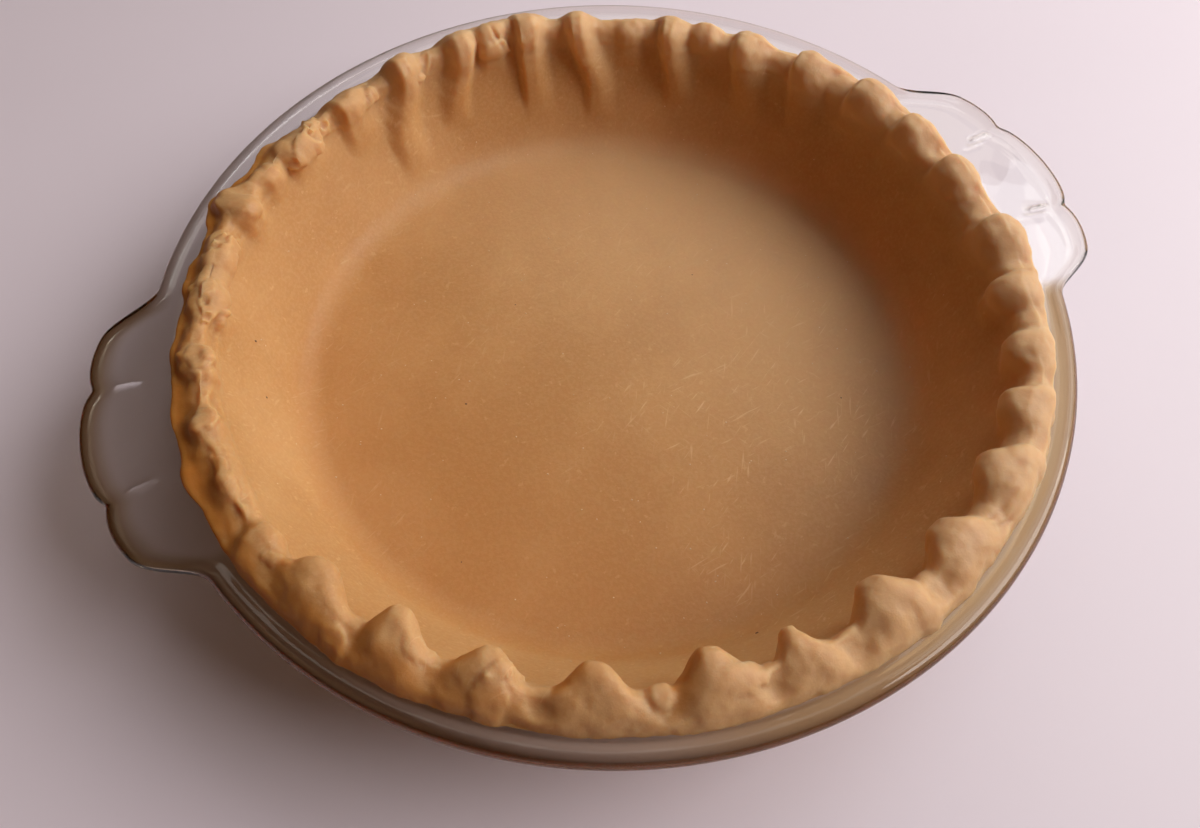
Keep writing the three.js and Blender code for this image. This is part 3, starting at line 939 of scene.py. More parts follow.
@dataclass
class PastryShell:
    """The rolled sheet of raw pastry, from its floor to its pinched edge.

    Sink is how far it lies in the glass, so that no gap shows. Slant is how much further out a patch lies
    for each millimetre of height. Ragged is the wavelength, the number and the draw of the waves that make
    the patches' outlines uneven. A pair is where a change starts and its run.
    """

    BATCH = 20000

    section: DishSection
    flutes: tuple[Flute, ...] = FLUTES
    stations: tuple[Station, ...] = STATIONS
    guides: tuple[Guide, ...] = GUIDES
    ledge: tuple[Point, ...] = LEDGE
    patches: tuple[Patch, ...] = PATCHES
    layers: tuple[Layer, ...] = LAYERS
    flat_ring: float = 55.0
    under_cove_rings: int = 5
    under_bend_rings: int = 3
    under_bend_end: float = 100.0
    cove_rings: int = 7
    floor_rings: int = 11
    rim_rounding: float = 1.6
    slant: float = 0.88
    slant_swing: float = 0.52
    slant_towards: float = 68.0
    steps: int = 1040
    sink: float = 0.15
    thick: float = 3.5
    crest_back: float = 1.9
    crest_above: float = 5.0
    lip_foot: float = 3.6
    steep_side: float = 0.45
    blunt: float = 0.6
    blunt_fade: float = 0.7
    dome_fade: float = 0.38
    crown_dome: float = 0.6
    crown_foot: float = 0.6
    soft_hang: float = 0.5
    roll_hang: float = 0.3
    fat_roll: float = 0.22
    tail_curve: int = 3
    hollow_curve: float = 1.5
    rings_each: int = 4
    torn_from: float = 128.0
    torn_to: float = 203.0
    torn_fade: float = 7.0
    torn_hold: float = 0.85
    torn_plain: float = 0.9
    torn_gap: float = 0.4
    torn_step: Pair = (-0.2, 1.2)
    torn_up: Pair = (0.1, 0.6)
    ragged: tuple[float, int, int] = (3.4, 40, 5)
    patch_height: float = 3.0
    patch_depth: float = 24.0
    rough_rim: Pair = (-8.0, 10.0)
    rough_wall: Pair = (60.0, 30.0)
    skin: Pair = (-0.9, 1.2)
    skin_inside: float = 112.0
    under_face: float = -0.6
    under_height: float = 1.0
    drying_light_and_shade: DryingLightAndShade = DryingLightAndShade()
    seed: int = 11

    def _under_side(self) -> list[Point]:
        """Works out the sheet's underside.

        Returns:
            The points that lie in the glass, from the middle out to the foot of the edge.
        """
        shape, sink = self.section, self.sink
        cove = arc(shape.cove_centre, shape.cove + sink, -90, -shape.lean, self.under_cove_rings)
        centre = (shape.flange_inner, shape.flange_top - shape.corner)
        bend = arc(centre, shape.corner - sink, 180 - shape.lean, self.under_bend_end, self.under_bend_rings)
        middle_z = (cove[-1][1] + bend[0][1]) / 2
        middle = (shape.wall_radius(middle_z, -sink), middle_z)
        floor = shape.wall - sink
        return [(0, floor), (self.flat_ring, floor), *cove, middle, *bend]

    def _floor_side(self) -> list[Point]:
        """Works out the sheet's floor.

        Returns:
            The points from the foot of the wall over the cove to the middle of the floor.
        """
        shape = self.section
        cove = arc(shape.cove_centre, shape.cove - self.thick, -shape.lean, -90, self.cove_rings)
        floor_z, rings = shape.wall + self.thick, self.floor_rings
        floor = [(shape.floor_radius * (1 - ring / rings), floor_z) for ring in range(1, rings)]
        return [*cove, *floor, (0, floor_z)]

    def _rim(self, degrees: Array) -> list[Array]:
        """Runs the stations round the rim, a little rounded.

        Args:
            degrees: The columns' directions.

        Returns:
            The outer edge, the lip, its height, the hollow and the roll in each column.
        """
        angles, *rows = zip(*(astuple(station) for station in self.stations))
        places = np.array([angles[-1] - 360, *angles, angles[0] + 360])
        offsets = np.linspace(-self.rim_rounding, self.rim_rounding, SAMPLES)
        rim = []
        for row in rows:
            levels = np.array([row[-1], *row, row[0]])
            total = sum(np.interp((degrees + offset) % 360, places, levels) for offset in offsets)
            rim.append(total / SAMPLES)
        return rim

    def _torn_edge(self, degrees: Array) -> Array:
        """Returns the radius of the torn top layer's ragged edge."""
        return np.interp(degrees, *zip(*self.ledge))

    def _share(self, flute: Flute, guide: Guide, degrees: Array, reach_low: float,
               reach_high: float, crown: float = 0.0) -> Array:
        """Works out one flute's cross section at one guide ring.

        Args:
            flute: The flute.
            guide: The ring.
            degrees: The columns' directions.
            reach_low: How far its fold to the lower side lies, in degrees.
            reach_high: How far its fold to the higher side lies.
            crown: How far its top is moved to the higher side, with its foot left where it is.

        Returns:
            The flute's share in each column, 1 along its top.
        """
        fill = guide.fill + (1 - guide.fill) * flute.full
        low = flute.low + (reach_low - flute.low) * fill * self.steep_side + crown
        high = flute.high + (reach_high - flute.high) * fill - crown * self.crown_foot
        middle = flute.angle + flute.out * guide.out + flute.foot * guide.foot + crown
        away = apart(degrees, middle)
        half = np.where(away < 0, low, high)
        top = np.minimum(flute.flat / half, self.blunt) * (1 - fill * self.blunt_fade)
        dome = self.crown_dome if crown else 1 - self.dome_fade * fill
        return (1 - smooth((np.abs(away) / half - top) / (1 - top))) ** dome

    def _torn(self, degrees: Array) -> Array:
        """Returns how torn the edge is in each direction, 1 where its top layer has come away."""
        starts = risen(degrees, self.torn_from, self.torn_fade)
        return starts * smooth((self.torn_to - degrees) / self.torn_fade)

    def _plain(self, guide: Guide, rim: list[Array], degrees: Array) -> tuple[Array, Array]:
        """Works out one guide ring as it would be with no flutes.

        Args:
            guide: The ring.
            rim: The stations' values in each column.
            degrees: The columns' directions.

        Returns:
            Its radius and its height above the table in each column.
        """
        edge, lip, level, _, roll = rim
        plane = self.section.height
        radius, height = edge + guide.across, np.full_like(edge, plane + guide.up)
        if guide.zone is Zone.SLOPE:
            radius = edge + (lip + self.crest_back * roll - edge) * guide.across
            height = plane + level * guide.up ** (1 / roll)
            ragged, torn = self._torn_edge(degrees), self._torn(degrees)
            ragged = ragged + (edge - self.torn_gap - ragged) * guide.ledge[0] - guide.inset
            radius = radius + (np.minimum(ragged, edge - 2 * self.torn_gap) - radius) * torn
            height = height + (plane + level * guide.ledge[1] - height) * torn
        elif guide.zone is Zone.LIP:
            radius = lip + guide.across * roll
            height = plane + level + guide.up * (1 + self.fat_roll * (roll - 1))
        elif guide.zone is Zone.WALL:
            wall = self.section.wall_radius(height, self.thick) + guide.across
            hang = self.section.wall_radius(plane - self.lip_foot, self.thick) - lip + self.roll_hang * roll
            radius = wall - guide.follow * (np.maximum(hang, 0) + self.soft_hang)
        return radius, height

    def _ring(self, guide: Guide, degrees: Array) -> tuple[Array, Array]:
        """Works out one guide ring with its flutes.

        Args:
            guide: The ring.
            degrees: The columns' directions.

        Returns:
            Its radius and its height above the table in each column.
        """
        rim = self._rim(degrees)
        radius, height = self._plain(guide, rim, degrees)
        _, lip, level, hollow, roll = rim
        pull, lift, ridge = (np.zeros_like(degrees) for _ in range(3))
        folds = [self._fold(place) for place in range(len(self.flutes))]
        for place, flute in enumerate(self.flutes):
            reach = (folds[place - 1][1], folds[place][0])
            share = self._share(flute, guide, degrees, *reach)
            drop = {Zone.LIP: -guide.up, Zone.WALL: self.crest_above - guide.up}.get(guide.zone, 0.0)
            fade = max(1 - (drop / flute.tail) ** self.tail_curve, 0)
            pull = np.maximum(pull, share * (lip - flute.tip) * fade)
            if flute.crown:
                share = self._share(flute, guide, degrees, *reach, flute.crown)
            lift = np.maximum(lift, share * (flute.rise - level))
            ridge = np.maximum(ridge, share)
        if guide.ledge[0] > 0:
            held = 1 - self.torn_hold * self._torn(degrees)
            pull, lift, hollow = pull * held, lift * held, hollow * held
        dug = guide.dig * hollow * (1 - ridge) ** self.hollow_curve
        height = height + guide.lift ** (1 / roll) * lift - dug
        return radius - guide.pull * pull, height

    def _fold(self, place: int) -> tuple[float, float]:
        """Finds the fold between a flute and the next one.

        Args:
            place: The flute's place in the row.

        Returns:
            How far the fold lies from the flute and from the next one, in degrees.
        """
        flute, after = self.flutes[place], self.flutes[(place + 1) % len(self.flutes)]
        gap = (after.angle - flute.angle) % 360
        near = gap * flute.high / (flute.high + after.low)
        return near, gap - near

    def _grid(self) -> tuple[Array, Array]:
        """Works out the free side's rings.

        Returns:
            Radius and height, one row for each ring and one column for each step.
        """
        degrees = np.arange(self.steps) * 360 / self.steps
        rings = [self._ring(guide, degrees) for guide in self.guides]
        radius, height = (self._fair(np.array(rows)) for rows in zip(*rings))
        return radius, height

    def _fair(self, guides: Array) -> Array:
        """Runs a smooth curve through the guides, with rings_each rings from one guide to the next.

        Args:
            guides: One row for each guide and one column for each step.

        Returns:
            One row for each ring.
        """
        rows = []
        last = len(guides) - 1
        for i in range(last):
            before, start, end, after = (guides[j] for j in (max(i - 1, 0), i, i + 1, min(i + 2, last)))
            for k in range(self.rings_each):
                t = k / self.rings_each
                slope, bend = end - before, 2 * before - 5 * start + 4 * end - after
                twist = 3 * start - before - 3 * end + after
                rows.append(0.5 * (2 * start + slope * t + bend * t ** 2 + twist * t ** 3))
        rows.append(guides[last])
        return np.array(rows)

    def build(self) -> Piece:
        """Spins the sheet, pinches its edge and makes it as uneven as hand-rolled dough.

        Returns:
            The finished shell.
        """
        under, floor = self._under_side(), self._floor_side()
        radius, height = self._grid()
        middle = list(zip(radius.mean(axis=1), height.mean(axis=1)))
        section = [*under, *middle, *floor]
        shell = Bench.lathe("dough_shell", section, self.steps)
        points = Bench.points(shell)
        self._pinch(points, section, len(under), radius, height)
        Bench.place(shell, points)
        self._roughen(shell)
        Bench.soften(shell)
        return shell

    def _pinch(self, points: Array, section: list[Point], first: int, radius: Array, height: Array) -> None:
        """Moves the blank's edge to the pinched shape, because a proportional move can't slant a ridge.

        Args:
            points: The blank's vertices in millimetres, changed in place.
            section: The section that the blank was spun from.
            first: The free side's first ring.
            radius: The free side's radii, for each ring and step.
            height: Its heights.
        """
        degrees, flat = Bench.polar(points)
        ring = np.empty(len(points), int)
        spots = np.array(section)
        for start in range(0, len(points), self.BATCH):
            part = slice(start, start + self.BATCH)
            across = flat[part, None] - spots[None, :, 0]
            up = points[part, 2, None] - spots[None, :, 1]
            ring[part] = (across ** 2 + up ** 2).argmin(axis=1)
        step = np.round(degrees / 360 * self.steps).astype(int) % self.steps
        free = (ring >= first) & (ring < first + len(radius))
        row, column = ring[free] - first, step[free]
        angle, reach = np.radians(degrees[free]), radius[row, column]
        points[free] = np.column_stack([reach * np.cos(angle), reach * np.sin(angle), height[row, column]])

    def _relief(self, points: Array) -> Array:
        """Works out the flaps, nubs and hollows of the edge.

        Args:
            points: Places on the shell in millimetres.

        Returns:
            How far each place is pushed out.
        """
        degrees, flat = Bench.polar(points)
        slant = self.slant + self.slant_swing * facing(degrees % 360, self.slant_towards)
        above = points[:, 2] - self.section.height - self.patch_height
        reach = flat + slant * above
        length, waves, draw = self.ragged
        uneven = Lumps(length, waves, self.seed + draw).at(points)
        push = np.zeros(len(points))
        for patch in self.patches:
            side = np.radians(apart(degrees % 360, patch.angle)) * self.section.flange_inner
            out = reach - patch.reach
            cos, sin = math.cos(math.radians(patch.yaw)), math.sin(math.radians(patch.yaw))
            along, across = (side * cos + out * sin) / patch.long, (out * cos - side * sin) / patch.wide
            inside = (1 - 2 * np.hypot(along, across) + patch.ragged * uneven) / patch.soft + 0.5
            grown = risen(along, -0.5, patch.root) if patch.root else 1.0
            push += patch.lift * smooth(inside) * grown * (above > -self.patch_depth)
        return push

    def _roughen(self, shell: Piece) -> None:
        """Pushes the surface in and out a little, most where the edge is torn and least on the floor.

        Args:
            shell: The pinched shell.
        """
        points, normals = Bench.points(shell), Bench.read(shell, "normal")
        degrees, flat = Bench.polar(points)
        degrees %= 360
        over_rim = points[:, 2] - self.section.height
        rim, off_floor = risen(over_rim, *self.rough_rim), risen(flat, *self.rough_wall)
        beyond = risen(flat - self._torn_edge(degrees), *self.torn_step)
        torn = self._torn(degrees) * rim * risen(normals[:, 2], *self.torn_up)
        torn = torn * (1 - self.torn_hold * beyond)
        seen = (normals[:, 2] > self.under_face) & (points[:, 2] > self.section.wall + self.under_height)
        start, run = self.skin
        skin = np.where(seen, 1.0, 0.0) * smooth((over_rim - start) / run + (flat < self.skin_inside))
        relief = self._relief(points) * (1 - self.torn_plain * beyond * self._torn(degrees))
        push = relief
        for layer in self.layers:
            height = layer.everywhere + layer.off_floor * off_floor + layer.rim * rim + layer.torn * torn
            push = push + Lumps(layer.length, layer.waves, self.seed + layer.draw).at(points) * height
        Bench.place(shell, points + normals * (skin * push)[:, None])
        self._dry_light_and_shade(shell, points, normals, relief)

    def _dry_light_and_shade(self, shell: Piece, points: Array, normals: Array, relief: Array) -> None:
        """Notes on each vertex how pale the dough is made, partly as dried dough and partly as painted light,
        and how much painted shade it gets, which its finish reads.

        Args:
            shell: The shaped shell.
            points: Its vertices in millimetres.
            normals: Their normals.
            relief: How far each stands out as a flap or lies in a hollow.
        """
        way = self.drying_light_and_shade
        degrees, flat = Bench.polar(points)
        degrees %= 360
        rim = risen(points[:, 2] - self.section.height, *way.rim)
        floor = 1 - risen(points[:, 2] - self.section.wall - self.thick, *way.floor)
        past_torn = flat - self._torn_edge(degrees)
        outward = (normals[:, 0] * points[:, 0] + normals[:, 1] * points[:, 1]) / np.maximum(flat, 1)
        # painted shade: outward slopes on the side away from the light, and the torn edge's under-slope, are
        # made darker and more saturated, most near the glass
        outer = risen(outward, *way.looks_out) * risen(flat, *way.outside)
        outer = np.maximum(outer, risen(past_torn, *way.torn) * self._torn(degrees))
        outer = outer * risen(facing(degrees, way.shade_side), *way.shade)
        held, more = way.glass_mix
        outer = outer * (held + more * risen(past_torn, *way.near_glass))
        # painted shade on faces turned away from the light
        looks = normals[:, 1] * way.turned_shade_way[1] + normals[:, 0] * way.turned_shade_way[0]
        turned = risen(looks, *way.looks_left) * risen(facing(degrees, way.turned_shade_side), *way.glow)
        shade_tone = np.maximum(outer, way.turned_shade_share * turned * rim)
        # paler on the rim towards the right and the far side, partly as dried, floured dough and partly as
        # painted light; raised flaps paler still
        side = 0.5 + 0.5 * facing(degrees, way.lit_side)
        side = np.maximum(side, way.far_share * risen(facing(degrees, way.far_side), *way.far))
        dried_and_lit = rim * (way.rim_least + way.rim_more * side) + way.flap_share * np.clip(relief, -1, 1)
        # painted light: the floor is paler towards the window side
        towards = points[:, 0] * way.floor_light_way[0] + points[:, 1] * way.floor_light_way[1]
        towards = towards / self.section.floor_radius
        dried_and_lit = dried_and_lit + floor * way.floor_light * smooth(towards * way.floor_slope + way.floor_level)
        # painted shade over the floor's part away from the window
        shade_tone = np.maximum(shade_tone, floor * way.floor_shade * smooth(way.shade_level - towards))
        Bench.note(shell, "dried_and_lit_share", np.clip(dried_and_lit * (1 - shade_tone), 0, 1))
        Bench.note(shell, "painted_shade", np.clip(shade_tone, 0, 1))


@dataclass
class Flecks:
    """Tiny flecks of one kind that lie on the dough, each with its place from above and its radius.

    Narrow and flat are a fleck's width and height as shares of its length, crooked how far its corners are
    moved, for a radius of 1, and twist how far each is turned past the one before, in radians.
    """

    name: str
    spots: tuple[Triple, ...]
    narrow: float = 0.7
    flat: float = 0.45
    crooked: float = 0.22
    twist: float = 2.4
    dropped_from: float = 200.0
    draw: int = 5

    @staticmethod
    def scattered(count: int, reach: float, small: float, large: float, seed: int) -> tuple[Triple, ...]:
        """Draws places and sizes for many flecks.

        Args:
            count: How many flecks there are.
            reach: How far from the middle they lie.
            small: The smallest fleck's radius.
            large: The largest fleck's radius.
            seed: Where the random draw starts.

        Returns:
            Each fleck's place from above and its radius, in millimetres.
        """
        draw = np.random.default_rng(seed)
        turns, shares = draw.uniform(0, math.tau, count), np.sqrt(draw.uniform(0, 1, count))
        sizes = draw.uniform(small, large, count)
        return tuple((reach * share * math.cos(turn), reach * share * math.sin(turn), size)
                     for turn, share, size in zip(turns, shares, sizes))

    def build(self, dough: Piece) -> Piece:
        """Lays the flecks on the dough.

        Args:
            dough: The object that they lie on.

        Returns:
            All the flecks as one object.
        """
        bpy.context.view_layer.update()
        Bench.clear()
        bpy.ops.mesh.primitive_ico_sphere_add(subdivisions=2, radius=MM, location=(0, 0, 0))
        model = bpy.context.object
        bpy.ops.object.mode_set(mode="EDIT")
        bpy.ops.mesh.select_all(action="SELECT")
        bpy.ops.transform.vertex_random(offset=self.crooked * MM, seed=self.draw)
        bpy.ops.object.mode_set(mode="OBJECT")
        flecks = []
        for number, (x, y, size) in enumerate(self.spots):
            start = Vector((x * MM, y * MM, self.dropped_from * MM))
            lands, place, normal, _ = dough.ray_cast(start, Vector((0, 0, -1)))
            if not lands:
                continue
            fleck = bpy.data.objects.new(self.name, model.data.copy())
            bpy.context.scene.collection.objects.link(fleck)
            fleck.location = place
            twist = Matrix.Rotation(number * self.twist, 3, "Z").to_quaternion()
            lie = normal.to_track_quat("Z", "Y") @ twist
            fleck.rotation_euler = lie.to_euler()
            fleck.scale = (size, size * self.narrow, size * self.flat)
            flecks.append(fleck)
        bpy.data.objects.remove(model)
        whole = Bench.join(self.name, flecks)
        Bench.soften(whole)
        return whole


# ---- Finishes ----


class Graph:
    """Adds nodes to a node tree and links them by name, or by number in a node that mixes colours."""

    MIXED = (0, 6, 7)
    MIXTURE = 2

    def __init__(self, tree: bpy.types.NodeTree) -> None:
        """Holds the tree to fill."""
        self.tree = tree

    def feed(self, socket: Socket, value: object) -> None:
        """Gives an input its value.

        Args:
            socket: The input.
            value: An output to link to it, a colour or a plain value.
        """
        if isinstance(value, Socket):
            self.tree.links.new(value, socket)
        elif socket.type == "RGBA":
            socket.default_value = (*value, 1.0)
        else:
            socket.default_value = value

    def fill(self, node: Node, **settings: object) -> None:
        """Gives a node its values.

        Args:
            node: The node.
            settings: Values for its own settings, and for its inputs by name with _ for a space.
        """
        for name, value in settings.items():
            if hasattr(node, name):
                setattr(node, name, value)
            else:
                self.feed(node.inputs[name.replace("_", " ")], value)

    def add(self, kind: str, **settings: object) -> Node:
        """Adds a node.

        Args:
            kind: The node's type.
            settings: Its values, as fill takes them.

        Returns:
            The new node.
        """
        node = self.tree.nodes.new(kind)
        self.fill(node, **settings)
        return node

    def mix(self, share: object, first: object, second: object) -> Socket:
        """Mixes two colours.

        Args:
            share: How much of the second colour is used, a socket or a number.
            first: A colour or a socket.
            second: A colour or a socket.

        Returns:
            The mixed colour's socket.
        """
        node = self.add("ShaderNodeMix", data_type="RGBA")
        for place, value in zip(self.MIXED, (share, first, second)):
            self.feed(node.inputs[place], value)
        return node.outputs[self.MIXTURE]

    def math(self, step: str, first: object, second: object) -> Socket:
        """Does one sum on two values.

        Args:
            step: The operation's name.
            first: A number or a socket.
            second: A number or a socket.

        Returns:
            The result's socket.
        """
        node = self.add("ShaderNodeMath", operation=step)
        for socket, value in zip(node.inputs, (first, second)):
            self.feed(socket, value)
        return node.outputs[0]

    def window(
        self, value: Socket, low: object, high: object, bottom: float = 0.0, top: float = 1.0
    ) -> Socket:
        """Maps a range of a value smoothly to another range.

        Args:
            value: The socket to map.
            low: The value that becomes bottom, a socket or a number.
            high: The value that becomes top.
            bottom: The result below low.
            top: The result above high.

        Returns:
            The mapped value's socket.
        """
        node = self.add("ShaderNodeMapRange", interpolation_type="SMOOTHSTEP")
        for socket, number in zip(node.inputs, (value, low, high, bottom, top)):
            self.feed(socket, number)
        return node.outputs[0]

    def attribute(self, name: str) -> Socket:
        """Returns the socket of a number that the piece has on its vertices."""
        return self.add("ShaderNodeAttribute", attribute_name=name).outputs["Fac"]


class Mottle:
    """A node group of uneven patches at one scale, used by every finish here."""

    NAME = "mottle"
    INPUTS = ("Scale", "Detail", "Low", "High")
    LIVELY = 0.6

    @classmethod
    def group(cls) -> bpy.types.NodeTree:
        """Makes the group the first time it is asked for.

        Returns:
            The group.
        """
        if cls.NAME in bpy.data.node_groups:
            return bpy.data.node_groups[cls.NAME]
        tree = bpy.data.node_groups.new(cls.NAME, "ShaderNodeTree")
        for name in cls.INPUTS:
            tree.interface.new_socket(name, in_out="INPUT", socket_type="NodeSocketFloat")
        tree.interface.new_socket("Vector", in_out="INPUT", socket_type="NodeSocketVector")
        for name in ("Share", "Raw"):
            tree.interface.new_socket(name, in_out="OUTPUT", socket_type="NodeSocketFloat")
        graph = Graph(tree)
        given = graph.add("NodeGroupInput").outputs
        noise = graph.add("ShaderNodeTexNoise", Roughness=cls.LIVELY, Vector=given["Vector"],
                          Scale=given["Scale"], Detail=given["Detail"]).outputs["Fac"]
        share = graph.window(noise, given["Low"], given["High"])
        graph.add("NodeGroupOutput", Share=share, Raw=noise)
        return tree

    @classmethod
    def place(cls, graph: Graph, where: Socket, patches: Range) -> Node:
        """Puts the group in a material.

        Args:
            graph: The material's graph.
            where: The coordinates that it reads.
            patches: Patches to the metre, how many finer layers they have, the noise level where a patch
                begins and the level where it is full.

        Returns:
            The group's node.
        """
        node = graph.add("ShaderNodeGroup", node_tree=cls.group(), Vector=where)
        graph.fill(node, **dict(zip(cls.INPUTS, patches)))
        return node


def new_material(name: str) -> tuple[bpy.types.Material, Graph, Node, Socket]:
    """Starts a material.

    Args:
        name: Its name.

    Returns:
        The material, its graph, its Principled shader and the socket of the piece's own coordinates.
    """
    material = bpy.data.materials.new(name)
    material.use_nodes = True
    graph = Graph(material.node_tree)
    where = graph.add("ShaderNodeTexCoord").outputs["Object"]
    return material, graph, material.node_tree.nodes["Principled BSDF"], where


@dataclass(frozen=True)
class DoughFinish:
    """Raw short pastry: matt and faintly buttery, with a fine grain, pale flour and darker fat.

    Broad, grain, flour, pits and strewn are its mottles, as Mottle.place takes them. Gloss is the range of
    the broad one and the roughness at its two ends, and fibre_reach the distances from fibre_middle and the
    fibres' strength there, both as Graph.window takes them. Each of fibre_runs is a direction in degrees, a
    scale and a strength.
    """

    colour: Colour = (0.63, 0.33, 0.13)
    pale: Colour = (0.72, 0.43, 0.21)
    deep: Colour = (0.57, 0.285, 0.105)
    # dried_and_lit: the paler colour of dried, floured dough, also used as painted light
    dried_and_lit: Colour = (0.74, 0.45, 0.245)
    # shade_tone: the colour of the painted shade, a darker saturated orange
    shade_tone: Colour = (0.56, 0.205, 0.036)
    fibre: Colour = (0.82, 0.56, 0.32)
    broad: Range = (28, 3, 0.38, 0.66)
    grain: Range = (900, 3, 0.42, 0.62)
    flour: Range = (420, 2, 0.66, 0.72)
    pits: Range = (260, 4, 0.3, 0.7)
    strewn: Range = (26, 2, 0.44, 0.60)
    grain_share: float = 0.22
    flour_share: float = 0.5
    pit_share: float = 0.8
    relief: float = 0.0003
    relief_share: float = 0.30
    gloss: Range = (0.35, 0.65, 0.49, 0.63)
    specular: float = 0.35
    glow: Colour = (1.0, 0.72, 0.50)
    glow_depth: float = 0.005
    fibre_stretch: Triple = (10.0, 1.0, 4.0)
    fibre_scale: float = 1250.0
    fibre_levels: Pair = (0.66, 0.80)
    fibre_reach: Range = (0.015, 0.08, 0.80, 0.34)
    fibre_runs: tuple[Triple, ...] = ((34, 1.0, 1.0), (8, 0.9, 0.8), (62, 0.9, 0.7), (118, 1.2, 0.5))
    fibre_middle: Triple = (0.03, -0.056, 0.0085)

    def material(self) -> bpy.types.Material:
        """Makes the material.

        Returns:
            The material.
        """
        material, graph, shader, where = new_material("raw_pastry")
        broad, grain, flour, pits = (
            Mottle.place(graph, where, patches).outputs
            for patches in (self.broad, self.grain, self.flour, self.pits)
        )
        tone = graph.mix(broad["Share"], self.deep, self.colour)
        # paler where the dough is dried and floured, and painted light on the sides that face the lights
        tone = graph.mix(graph.attribute("dried_and_lit_share"), tone, self.dried_and_lit)
        tone = graph.mix(self._fibres(graph, where), tone, self.fibre)
        tone = graph.mix(graph.math("MULTIPLY", grain["Share"], self.grain_share), tone, self.pale)
        tone = graph.mix(graph.math("MULTIPLY", flour["Share"], self.flour_share), tone, self.pale)
        # painted shade: darker, saturated orange on faces turned away from the light
        tone = graph.mix(graph.attribute("painted_shade"), tone, self.shade_tone)
        height = graph.math("ADD", grain["Raw"], graph.math("MULTIPLY", pits["Raw"], self.pit_share))
        bump = graph.add("ShaderNodeBump", Strength=self.relief_share, Distance=self.relief, Height=height)
        graph.fill(
            shader, Base_Color=tone, Normal=bump.outputs["Normal"], Specular_IOR_Level=self.specular,
            Roughness=graph.window(broad["Raw"], *self.gloss), Subsurface_Weight=1.0,
            Subsurface_Radius=self.glow, Subsurface_Scale=self.glow_depth,
        )
        return material

    def _fibres(self, graph: Graph, where: Socket) -> Socket:
        """Draws the thin pale scratches that the rolling pin and the floured board leave.

        Args:
            graph: The material's graph.
            where: The coordinates that it reads.

        Returns:
            The socket of the scratches' share.
        """
        total = None
        for turn, scale, share in self.fibre_runs:
            frame = graph.add(
                "ShaderNodeMapping", vector_type="TEXTURE", Vector=where,
                Rotation=(0, 0, math.radians(turn)), Scale=self.fibre_stretch,
            )
            patches = (self.fibre_scale * scale, 1, *self.fibre_levels)
            lines = Mottle.place(graph, frame.outputs["Vector"], patches).outputs["Share"]
            drawn = graph.math("MULTIPLY", lines, share)
            total = drawn if total is None else graph.math("MAXIMUM", total, drawn)
        strewn = Mottle.place(graph, where, self.strewn).outputs["Share"]
        near = graph.add("ShaderNodeVectorMath", operation="DISTANCE")
        graph.feed(near.inputs[0], where)
        graph.feed(near.inputs[1], self.fibre_middle)
        gathered = graph.window(near.outputs["Value"], *self.fibre_reach)
        return graph.math("MULTIPLY", total, graph.math("MULTIPLY", strewn, gathered))


@dataclass(frozen=True)
class MattFinish:
    """A matt, slightly mottled finish, with shade as the share of its colour in its darker patches."""

    name: str
    colour: Colour
    shade: float = 0.8
    patches: Range = (700, 2, 0.35, 0.65)
    roughness: float = 0.7

    def material(self) -> bpy.types.Material:
        """Makes the material.

        Returns:
            The material.
        """
        material, graph, shader, where = new_material(self.name)
        uneven = Mottle.place(graph, where, self.patches).outputs["Share"]
        shade = tuple(self.shade * value for value in self.colour)
        graph.fill(shader, Base_Color=graph.mix(uneven, shade, self.colour), Roughness=self.roughness)
        return material


DARK_BRAN = MattFinish("dark_bran", (0.16, 0.08, 0.04))
PALE_FLOUR = MattFinish("pale_flour", (0.83, 0.62, 0.40))
PALE_TABLE = MattFinish("pale_table", (0.91, 0.77, 0.85), 0.97, (4, 2, 0.3, 0.7), 0.5)


@dataclass(frozen=True)
class GlassFinish:
    """Clear pressed glass with a faint tint, and painted shade, a brown darkening, in its rim and handle
    edges.
    """

    colour: Colour = (0.955, 0.95, 0.935)
    # the colour of the painted shade in the rim's and handles' glass
    rim: Colour = (0.52, 0.37, 0.19)
    ripples: Range = (60, 1, 0.3, 0.7)
    ripple_share: float = 0.05
    ripple: float = 0.001
    ior: float = 1.48
    roughness: float = 0.02

    def material(self) -> bpy.types.Material:
        """Makes the material.

        Returns:
            The material.
        """
        material, graph, shader, where = new_material("clear_glass")
        raw = Mottle.place(graph, where, self.ripples).outputs["Raw"]
        bump = graph.add("ShaderNodeBump", Strength=self.ripple_share, Distance=self.ripple, Height=raw)
        # painted shade: the glass is darkened brown where rim_painted_shade is noted
        tone = graph.mix(graph.attribute("rim_painted_shade"), self.colour, self.rim)
        graph.fill(shader, Base_Color=tone, Normal=bump.outputs["Normal"], Roughness=self.roughness,
                   IOR=self.ior, Transmission_Weight=1.0)
        return material


# ---- The studio ----


@dataclass(frozen=True)
class Lamp:
    """A soft round light that faces the dish.

    Azimuth is its direction round the dish from +X and elevation its height, both in degrees. Size is its
    width and away its distance, in metres, and power is in watts.
    """

    name: str
    azimuth: float
    elevation: float
    size: float
    power: float
    colour: Colour
    away: float

    def hang(self) -> None:
        """Adds the light to the scene."""
        turn, lift = math.radians(self.azimuth), math.radians(self.elevation)
        way = Vector((math.cos(turn) * math.cos(lift), math.sin(turn) * math.cos(lift), math.sin(lift)))
        bpy.ops.object.light_add(type="AREA", location=way * self.away)
        light = bpy.context.object
        light.name = self.name
        light.data.shape = "DISK"
        light.data.size = self.size
        light.data.energy = self.power
        light.data.color = self.colour
        light.rotation_euler = (-way).to_track_quat("-Z", "Y").to_euler()


